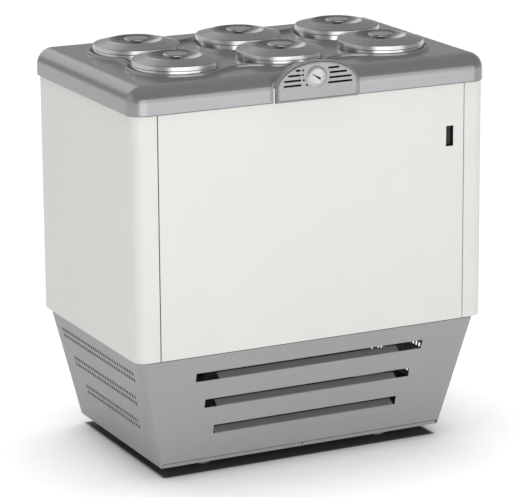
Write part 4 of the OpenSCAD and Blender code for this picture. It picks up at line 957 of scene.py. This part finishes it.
@dataclass
class Panels:
    """The white sheet-metal panels with their open seams and the finger pull.

    The pull's steps are how far it is wider than its opening, and its depth behind the panel's face.
    """

    corner_r: float = 34.0
    seam_in: float = 64.0
    seam_gap: float = 2.4
    seam_depth: float = 12.0
    strip_back: tuple[float, float] = (2.2, 5.0)
    flange: float = 30.0
    bend_r: float = 1.6
    foot_in: float = 0.6
    pull_w: float = 22.0
    pull_h: float = 55.0
    pull_at: tuple[float, float] = (399.0, 845.5)
    pull_steps: tuple = ((1.6, 1.25), (0.0, 1.25), (-0.15, 2.0), (-0.6, 14.0), (-2.4, 16.4), (-5.0, 17.0))

    def side(self, sign: int) -> None:
        """A side panel: turned-in rear edge, side, front corner, front to the seam, turned-in seam edge."""
        x, front, rear = -SIZES.half_w, SIZES.front_y, SIZES.rear_y
        seam, r, turned, near = x + self.seam_in, self.corner_r, x + self.flange, self.foot_in
        line = rounded([[turned - 0.2, rear], [x, rear], [x, front], [seam, front],
                        [seam, front + self.seam_depth]], [0, self.bend_r, r, self.bend_r, 0], 14)
        foot = np.array([[x + near, rear - near], [x + near, front + r],
                         *arc((x + r, front + r), r - near, 180, 270, 10),
                         [seam - near, front + near], [seam - near, front + self.flange],
                         [turned, front + self.flange + 20], [turned, rear - near]])
        wall = handed(strip(line, SIZES.sheet_t), sign)
        shape = Shape().prism(wall, SIZES.base_top, SIZES.body_top - 0.2, 0.3)
        shape.plate([level(handed(foot, sign), SIZES.base_top + SIZES.sheet_t)], (0, 0, -SIZES.sheet_t))
        side = SIDES[sign]
        shape.object(f"{side}_side_panel", Finishes.WHITE, "white_paint", [f"side_panel_{side}"], 35)

    def front(self) -> None:
        """The front panel with its turned-in edges and the opening of the pull."""
        x, y = SIZES.half_w - self.seam_in - self.seam_gap, SIZES.front_y
        low, high = SIZES.base_top, SIZES.body_top - 0.2
        px, pz = self.pull_at
        w, h = self.pull_w / 2, self.pull_h / 2
        outline = rounded(rect(-x, low, x, high), [1] * 4, 3, True)
        hole = rounded(rect(px - w, pz - h, px + w, pz + h), [1.5] * 4, 4, True)
        shape = Shape().plate([upright(outline, y), upright(hole, y)], (0, SIZES.sheet_t, 0))
        for sign in SIDES:
            outer, inner = sign * x, sign * (x - SIZES.sheet_t)
            near, far = y + 0.5, y + self.seam_depth
            edge = [[outer, near], [outer, far], [inner, far], [inner, near]]
            shape.prism(edge if sign < 0 else edge[::-1], low, high, 0.2)
        panel = shape.object("front_panel_sheet", Finishes.WHITE, "white_paint", ["front_panel"], 35,
                             recalc=True)
        bevel = panel.modifiers.new("edge", "BEVEL")
        bevel.width, bevel.segments, bevel.limit_method = 0.0004, 2, "ANGLE"
        bevel.angle_limit = math.radians(60)

    def pull(self) -> None:
        """The cup of the finger pull: a thin collar, drawn walls and a rounded bottom."""
        loops = []
        for grow, back in self.pull_steps:
            w, h = self.pull_w / 2 + grow, self.pull_h / 2 + grow
            flat = rounded(rect(-w, -h, w, h), [max(1.2, 2.0 - grow * 0.4)] * 4, 5, True)
            loops.append(upright(flat, SIZES.front_y + back, self.pull_at))
        Shape().grid(np.stack(loops), wrap=True, flip=True).fill([loops[-1]], (0, -1, 0)).object(
            "finger_pull_cup", Finishes.BLACK, "black_plastic", ["finger_pull"], 50)

    def seam_strip(self, sign: int) -> None:
        """The dark strip that lies in the seam, a little behind the panels' faces."""
        outer = SIZES.half_w - self.seam_in - 0.1
        inner = outer - self.seam_gap + 0.2
        low, high = (SIZES.front_y + back for back in self.strip_back)
        plan = handed(np.array(rect(-outer, low, -inner, high)), sign)
        Shape().prism(plan, SIZES.base_top + 0.4, SIZES.body_top - 0.4, 0.2).object(
            f"{SIDES[sign]}_seam_strip", Finishes.RUBBER_AND_PAINTED_SHADE, "black_rubber")

    def build(self) -> None:
        """Makes the panels, the strips in their seams and the pull."""
        for sign in SIDES:
            self.side(sign)
            self.seam_strip(sign)
        self.front()
        self.pull()


@dataclass
class Base:
    """The tapered grey base: a front sheet wrapped round both corners, with slots and a set-back lip."""

    top_in: float = 10.6
    bottom_in: float = 75.8
    side_top: float = 12.3
    side_bottom: float = 95.5
    corner_top: float = 33.0
    corner_bottom: float = 3.0
    wrap: float = 46.0
    thick: float = 1.5
    lip_h: float = 12.0
    lip_back: float = 2.5
    lip_in: float = 5.0
    screw_r: float = 2.6
    slot_first: float = 65.0
    slot_pitch: float = 78.5
    slot_h: float = 25.0
    slot_half: float = 333.5
    slot_step: float = 31.5
    painted_shade_band_h: float = 5.0
    painted_shade_band_out: float = 0.6
    painted_shade_band_t: float = 0.55
    painted_shade_band_rear: float = 16.0
    shade_line_h: float = 3.2
    screen_in: float = 12.0
    screen_z: tuple[float, float] = (118.0, 325.0)
    screen_ends: tuple[float, float] = (62.0, 60.0)
    levels: int = 24

    def down(self, z: Array) -> Array:
        """Share of the way from the base's top to its bottom."""
        return (SIZES.base_top - z) / (SIZES.base_top - SIZES.floor_gap)

    def face_y(self, z: Array) -> Array:
        """Front face at a height."""
        return SIZES.front_y + self.top_in + (self.bottom_in - self.top_in) * self.down(z)

    def side_x(self, z: Array) -> Array:
        """Half width at a height."""
        return SIZES.half_w - self.side_top - (self.side_bottom - self.side_top) * self.down(z)

    @property
    def inward(self) -> Array:
        """Direction square to the front face that points into the base."""
        lean = math.atan((self.bottom_in - self.top_in) / (SIZES.base_top - SIZES.floor_gap))
        return np.array([0, math.cos(lean), math.sin(lean)])

    def wraps(self, z: Array, inset: float) -> Array:
        """Left-hand wrap from the front face round the corner on to the side, one column a level.

        Each level is the corner's quarter circle, then a straight run along the side.
        """
        r = self.corner_top + (self.corner_bottom - self.corner_top) * self.down(z)
        x, y = self.side_x(z), self.face_y(z)
        a = np.radians(np.linspace(270, 180, 13))[:, None]
        turn = np.stack([-x + r + (r - inset) * np.cos(a), y + r + (r - inset) * np.sin(a),
                         np.broadcast_to(z, (13, len(z)))], 2)
        end = np.stack([-x + inset, y + self.wrap, z], 1)[None]
        return np.concatenate([turn, end])

    def front(self) -> None:
        """The front sheet: a flat face with three slots, and a wrap at each end, with a real thickness."""
        foot = SIZES.floor_gap
        heights = np.append(foot, np.linspace(foot + self.lip_h, SIZES.base_top, self.levels))
        shape, skins, slots = Shape(), [], []
        for inset in (0.0, self.thick):
            skin = self.wraps(heights, inset)
            shape.grid(skin, flip=inset > 0).grid(skin * MIRROR, flip=inset == 0)
            edge = skin[0, 1:]
            cuts = [self.slot(i, inset) for i in range(3)]
            outline = np.concatenate([edge[::-1], edge * MIRROR])
            shape.fill([outline, *cuts], self.inward if inset > 0 else -self.inward)
            skins.append(skin)
            slots.append(cuts)
        for pair in zip(*slots):
            shape.grid(np.stack(pair), wrap=True)
        for mirror in (1, -1):
            for edge in (np.s_[-1], np.s_[:, 0], np.s_[:, -1]):
                shape.grid(np.stack([skin[edge] for skin in skins]) * [mirror, 1, 1])
        for end in (1, -1):
            shape.grid(np.stack([np.stack([skin[0, end], skin[0, end] * MIRROR]) for skin in skins]))
        self.lip(shape)
        shape.object("base_front_sheet", Finishes.BASE, "grey_paint", ["base_front"], 30, recalc=True)

    def slot(self, number: int, inset: float) -> Array:
        """Outline of one slot on the front face, or on its inner face."""
        z = SIZES.base_top - self.slot_first - number * self.slot_pitch
        half, v = self.slot_half - number * self.slot_step, self.slot_h / 2
        flat = rounded(rect(-half, -v, half, v), [1.2] * 4, 3, True)
        _, along, rise = self.inward
        at = np.array([0, float(self.face_y(np.array(z))), z]) + inset * self.inward
        return at + flat[:, :1] * [1, 0, 0] + flat[:, 1:] * np.array([0, -rise, along])

    def lip(self, shape: Shape) -> None:
        """Adds the set-back lip: a strip below the sheet, turned in at its top, with a screw hole."""
        z0, z1 = SIZES.floor_gap, SIZES.floor_gap + self.lip_h
        y = float(self.face_y(np.array(z0))) + self.lip_back
        x = float(self.side_x(np.array(z0))) - self.lip_in
        hole = circle((0, z0 + self.lip_h * 0.6), self.screw_r, 20)
        outline = np.array(rect(-x, z0, x, z1 + 1))
        shape.plate([upright(outline, y), upright(hole, y)], (0, self.thick, 0))
        back = float(self.face_y(np.array(z1))) + 0.8
        shape.plate([level(rect(-x, back, x, y + self.thick), z1 + 0.4)], (0, 0, 1.2))

    def painted_shade_band(self) -> None:
        """A thin black strip between the body and the base, just outside the base's sheets: painted shade
        under the body's overhang.
        """
        top, r = np.array(SIZES.base_top), self.corner_top
        x, y = float(self.side_x(top)) + self.painted_shade_band_out, float(self.face_y(top)) - self.painted_shade_band_out
        rear = SIZES.rear_y - self.painted_shade_band_rear
        path = rounded([[-x, rear], [-x, y], [x, y], [x, rear]], [0, r, r, 0], 14)
        low, high = SIZES.base_top - self.painted_shade_band_h, SIZES.base_top - 0.1
        Shape().prism(strip(path, self.painted_shade_band_t), low, high, 0.1).object(
            "body_painted_shade_band", Finishes.RUBBER_AND_PAINTED_SHADE, "black_rubber")

    def lip_painted_shade_line(self) -> None:
        """A thin black strip between the front sheet's foot and the set-back lip: painted shade under the
        step.
        """
        z1 = SIZES.floor_gap + self.lip_h
        z0 = z1 - self.shade_line_h
        y = float(self.face_y(np.array(SIZES.floor_gap))) + self.lip_back - 0.3
        x = float(self.side_x(np.array(z0))) - self.lip_in
        Shape().prism(rect(-x, y, x, y + 0.25), z0, z1, 0.05).object(
            "lip_painted_shade_line", Finishes.RUBBER_AND_PAINTED_SHADE, "black_rubber")

    def screen(self) -> None:
        """A black sheet behind the left side's air holes, as painted shade that darkens them: a sheet that
        leans as the side does.
        """
        z = np.array(self.screen_z)
        x = self.side_x(z) - self.screen_in
        low, high = float(self.face_y(z[0])) + self.screen_ends[0], SIZES.rear_y - self.screen_ends[1]
        outline = np.array([[-x[0], low, z[0]], [-x[0], high, z[0]], [-x[1], high, z[1]], [-x[1], low, z[1]]])
        Shape().plate([outline], (1.0, 0, 0)).object(
            "left_painted_shade_screen", Finishes.PITCH, "black_plastic", recalc=True)

    def build(self) -> None:
        """Makes the front sheet and three black pieces of painted shade: the strip over it, the line at its
        foot and the sheet behind the left side's air holes.
        """
        self.front()
        self.painted_shade_band()
        self.lip_painted_shade_line()
        self.screen()


@dataclass
class Castors:
    """Four wheels, each with a rounded tread, a dished side and a hub."""

    radius: float = 37.5
    width: float = 24.0
    trail: float = 22.0
    across: float = 240.0
    rows: tuple[float, float] = (145.0, 528.0)
    bore_r: float = 4.06
    dish: float = 4.5
    tread_in: float = 29.0
    tread_r: float = 4.5

    def wheel_profile(self) -> Array:
        """Radius and distance across the wheel: out over one side, round the tread, back down the other."""
        w = self.width / 2
        low, edge, start = w - self.dish, w - 0.4, self.tread_in
        half = [[self.bore_r, 0.0], [self.bore_r, w], [11, w], [12.2, w - 1.2], [13.5, low], [26, low],
                [27.6, w - 1.0]]
        tread = rounded([[start, edge], [self.radius, edge], [self.radius, 0]], [0, self.tread_r, 0], 7)
        side = join(half, tread)
        return join(side, (side * [1, -1])[::-1])

    def build(self) -> None:
        """Makes the wheels."""
        for number, (y, sign) in enumerate(((y, sign) for y in self.rows for sign in SIDES), 1):
            centre = (sign * (self.across + self.trail), SIZES.front_y + y, self.radius)
            Shape().lathe(self.wheel_profile(), centre, Axis.FRONT, 96).object(
                f"castor_tyre_{number}", Finishes.TREAD, "wheel_grey", [f"castor_wheel_{number}"], 35,
                f"castor_{number}_roller", True)


@dataclass
class Compressor:
    """The compressor's shell on the deck inside the base, seen through the slots and air holes."""

    x: float = -175.0
    rear_in: float = 160.0
    radius: float = 88.0
    height: float = 185.0
    deck_z: float = 124.0
    plate_t: float = 3.0
    plate_out: float = 14.0
    hole_r: float = 6.3
    foot_r: float = 12.0
    dome_r: float = 38.0

    def build(self) -> None:
        """Makes a drawn pot with a welded lap round its middle, on its foot plate."""
        r, h, z = self.radius, self.height, self.deck_z + self.plate_t
        foot, upper = self.foot_r, r - 0.5
        profile = join([[AXIS_R, 0], [r - foot, 0]], arc((r - foot, foot), foot, 270, 360, 6),
                       [[r, h * 0.52], [r + 2.2, h * 0.53], [r + 2.2, h * 0.58]],
                       rounded([[upper, h * 0.6], [upper, h], [AXIS_R, h]], [0, self.dome_r, 0], 12))
        centre = np.array([self.x, SIZES.rear_y - self.rear_in])
        half = r + self.plate_out
        plan = rounded(rect(-half, -half, half, half), [10] * 4, 6, True) + centre
        holes = [circle(centre + [sx * r, sy * r], self.hole_r, 24) for sx in (-1, 1) for sy in (-1, 1)]
        shape = Shape().lathe(profile, (*centre, z))
        shape.plate([level(p, z) for p in [plan, *holes]], (0, 0, -self.plate_t))
        shape.object("compressor_shell", Finishes.ENAMEL, "black_enamel", ["compressor"], 35)


class CarriedOver:
    """Nodes of the frame whose shape is right, and the finish that each one gets."""

    NODES: dict[Finish, str] = {
        Finishes.WHITE: "rear_panel",
        Finishes.ZINC: "uprights fan_blades castor_plates "
                       "castor_fork_1 castor_fork_2 castor_fork_3 castor_fork_4",
        Finishes.FOAM: "insulation",
        Finishes.SEAL: "rim_seals",
        Finishes.COPPER: "evaporator_jackets filter_drier refrigerant_pipes",
        Finishes.BLACK: "thermometer_case fan_shroud control_box",
        Finishes.BASE: "base_side_left base_side_right base_rear",
        Finishes.BLADE: "louvre_blades",
        Finishes.SHADE: "deck",
        Finishes.RUBBER_AND_PAINTED_SHADE: "compressor_feet cable_gland",
        Finishes.FINS: "condenser",
        Finishes.ENAMEL: "fan_motor",
        Finishes.SCREW: "screws"}

    def __init__(self, nodes: dict[str, bpy.types.Object]) -> None:
        """Keeps the frame's nodes, name to object."""
        self.nodes = nodes

    def dress(self) -> None:
        """Gives each node its finish in all its material slots."""
        for finish, names in self.NODES.items():
            for name in names.split():
                piece = self.nodes[name]
                if not piece.material_slots:
                    piece.data.materials.append(None)
                for socket in piece.material_slots:
                    socket.material = finish.material()
                LOG.info("%s keeps its shape, in %s", name, finish.name)


@dataclass
class Studio:
    """The pale floor, the soft light and the camera at the photograph's angle.

    A sky is the grey at heights from 0 at the horizon to 1 overhead. A glow is the way it lies, where it
    starts and ends as a cosine from there, and its strength. A softbox is its name, x, y, width and power.
    """

    centre: tuple[float, float, float] = (-3333.7, -6751.25, 2493.6)
    turn: tuple[float, float, float] = (1.7752, -0.4221, 0.3215)
    focal_px: float = 2895.3
    principal: tuple[float, float] = (268.57, 206.85)
    frame_px: tuple[float, float] = (519.0, 497.0)
    sensor: float = 36.0
    floor_reach: float = 40.0
    # box, edge blur and darkest level of the shadow painted on the floor under the base
    painted_shadow_box: tuple = ((-0.405, -0.222), (0.405, 0.309))
    painted_shadow_blur: float = 0.006
    painted_shadow_level: float = 0.10
    floor_albedo: float = 0.85
    floor_seen: float = 1.15
    sky_front: tuple = ((0.0, 0.40), (0.22, 0.34), (0.45, 0.20), (1.0, 0.16))
    sky_rear: tuple = ((0.0, 0.46), (0.06, 0.40), (0.22, 0.33), (1.0, 0.28))
    glows: tuple = (((-0.08, 0.88, 0.45), (0.91, 0.985, 0.75)), ((-0.92, 0.38, 0.10), (0.70, 0.96, 0.45)))
    overhead: float = 2.0
    overhead_from: tuple[float, float, float] = (0.05, 0.1, 1.0)
    overhead_spread: float = 60.0
    softboxes: tuple = (("front_softbox", -0.2, -3.5, 5.6, 47), ("left_softbox", -1.5, -3.4, 3.2, 12))
    softbox_z: float = 1.2
    softbox_h: float = 2.3

    def camera(self) -> None:
        """Sets the camera: position, turn, focal length and the shift of the photograph's frame."""
        turn = Vector(self.turn)
        rows = Matrix.Rotation(turn.length, 3, turn.normalized())
        world = Matrix((rows[0], -rows[1], -rows[2])).transposed().to_4x4()
        world.translation = Vector(self.centre) / MM
        wide, high = self.frame_px
        data = bpy.data.cameras.new("photo_camera")
        data.sensor_width = self.sensor
        data.sensor_fit = "HORIZONTAL"
        data.lens = self.focal_px / wide * self.sensor
        data.shift_x = (wide / 2 - self.principal[0]) / wide
        data.shift_y = (self.principal[1] - high / 2) / wide
        data.clip_end = 100
        camera = place("photo_camera", data)
        camera.matrix_world = world
        bpy.context.scene.camera = camera

    def floor(self) -> None:
        """A wide white floor with a painted shadow: inside a box round the footprint of the base its colour
        falls to a low level, with blurred edges.
        """
        reach = self.floor_reach
        mesh = bpy.data.meshes.new("studio_floor")
        mesh.from_pydata(level(rect(-reach, -reach, reach, reach), 0).tolist(), [], [(0, 1, 2, 3)])
        floor = place("studio_floor", mesh)
        n = Nodes(bpy.data.materials.new("pale_floor_with_painted_shadow"))
        point = n.add("SeparateXYZ", {"Vector": n.position()}).outputs
        inside = []
        for axis, start, stop in zip("XY", *self.painted_shadow_box):
            away = n.calc("ABSOLUTE", n.calc("SUBTRACT", point[axis], (start + stop) / 2))
            half = (stop - start) / 2
            inside.append(n.remap(away, 1, 0, half - self.painted_shadow_blur, half + self.painted_shadow_blur))
        # painted shadow: the floor's colour falls to the set level inside the box
        painted_shadow = n.remap(n.calc("MULTIPLY", *inside), 1, self.painted_shadow_level, 0, 1)
        path = n.add("LightPath").outputs
        seen = n.calc("MAXIMUM", path["Is Camera Ray"], path["Is Glossy Ray"])
        seen = n.calc("MAXIMUM", seen, path["Is Transmission Ray"])
        grey = n.calc("MULTIPLY", n.remap(seen, self.floor_albedo, self.floor_seen, 0, 1), painted_shadow)
        colour = n.add("CombineColor", {"Red": grey, "Green": grey, "Blue": grey}).outputs[0]
        n.set(Base_Color=colour, Roughness=1.0, Specular_IOR_Level=0.0)
        mesh.materials.append(n.owner)

    @staticmethod
    def sky(n: Nodes, height: Socket, stops: tuple) -> Socket:
        """Grey against height, eased between its stops."""
        node = n.add("ValToRGB", {"Fac": height})
        node.color_ramp.interpolation = "EASE"
        elements = node.color_ramp.elements
        for number, (at, grey) in enumerate(stops):
            stop = elements[number] if number < 2 else elements.new(at)
            stop.position = at
            stop.color = (grey, grey, grey * 1.01, 1)
        return node.outputs["Color"]

    def world(self) -> None:
        """Surroundings alike for every ray: white round the front's horizon, darker overhead and behind."""
        world = bpy.data.worlds.new("studio")
        bpy.context.scene.world = world
        n = Nodes(world)
        n.tree.nodes.clear()
        towards = n.add("TexCoord").outputs["Generated"]
        split = n.add("SeparateXYZ", {0: towards}).outputs
        behind = n.remap(split["Y"], 0, 1, 0.0, 0.6, interpolation_type="SMOOTHSTEP")
        lit = n.mix(behind, *(self.sky(n, split["Z"], stops) for stops in (self.sky_front, self.sky_rear)))
        for way, (start, stop, most) in self.glows:
            near = n.add("VectorMath", {0: towards, 1: Vector(way).normalized()}, operation="DOT_PRODUCT")
            glow = n.remap(near.outputs["Value"], 0, most, start, stop, interpolation_type="SMOOTHSTEP")
            lit = n.add("VectorMath", {0: lit, 1: glow}, operation="ADD").outputs["Vector"]
        n.add("OutputWorld", {"Surface": n.add("Background", {"Color": lit}).outputs[0]})

    def softbox(self, name: str, x: float, y: float, width: float, power: float) -> None:
        """Adds a rectangular lamp in front of the counter that faces straight back.

        Args:
            name: its name.
            x: its place across, in metres.
            y: its place along the depth, in metres.
            width: in metres.
            power: in watts.
        """
        data = bpy.data.lights.new(name, "AREA")
        data.shape = "RECTANGLE"
        data.size, data.size_y = width, self.softbox_h
        data.energy = power
        lamp = place(name, data)
        lamp.location = (x, y, self.softbox_z)
        lamp.rotation_euler = Vector((0, -y, 0)).to_track_quat("-Z", "Y").to_euler()
        lamp.visible_camera = False

    def build(self) -> None:
        """Sets the stage."""
        self.camera()
        self.floor()
        self.world()
        data = bpy.data.lights.new("overhead_light", "SUN")
        data.energy = self.overhead
        data.angle = math.radians(self.overhead_spread)
        sun = place("overhead_light", data)
        sun.rotation_euler = Vector(self.overhead_from).to_track_quat("Z", "Y").to_euler()
        sun.visible_glossy = False
        for softbox in self.softboxes:
            self.softbox(*softbox)
        bpy.context.scene.view_settings.view_transform = "Standard"


def main() -> None:
    """Builds the counter round its frame."""
    logging.basicConfig(level=logging.INFO, format="%(message)s")
    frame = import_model()
    Studio().build()
    for assembly in (Worktop(), Lids(), Thermometer(), Panels(), Base(), Castors(), Compressor()):
        assembly.build()
    CarriedOver(frame["nodes"]).dress()


if __name__ == "__main__":
    main()
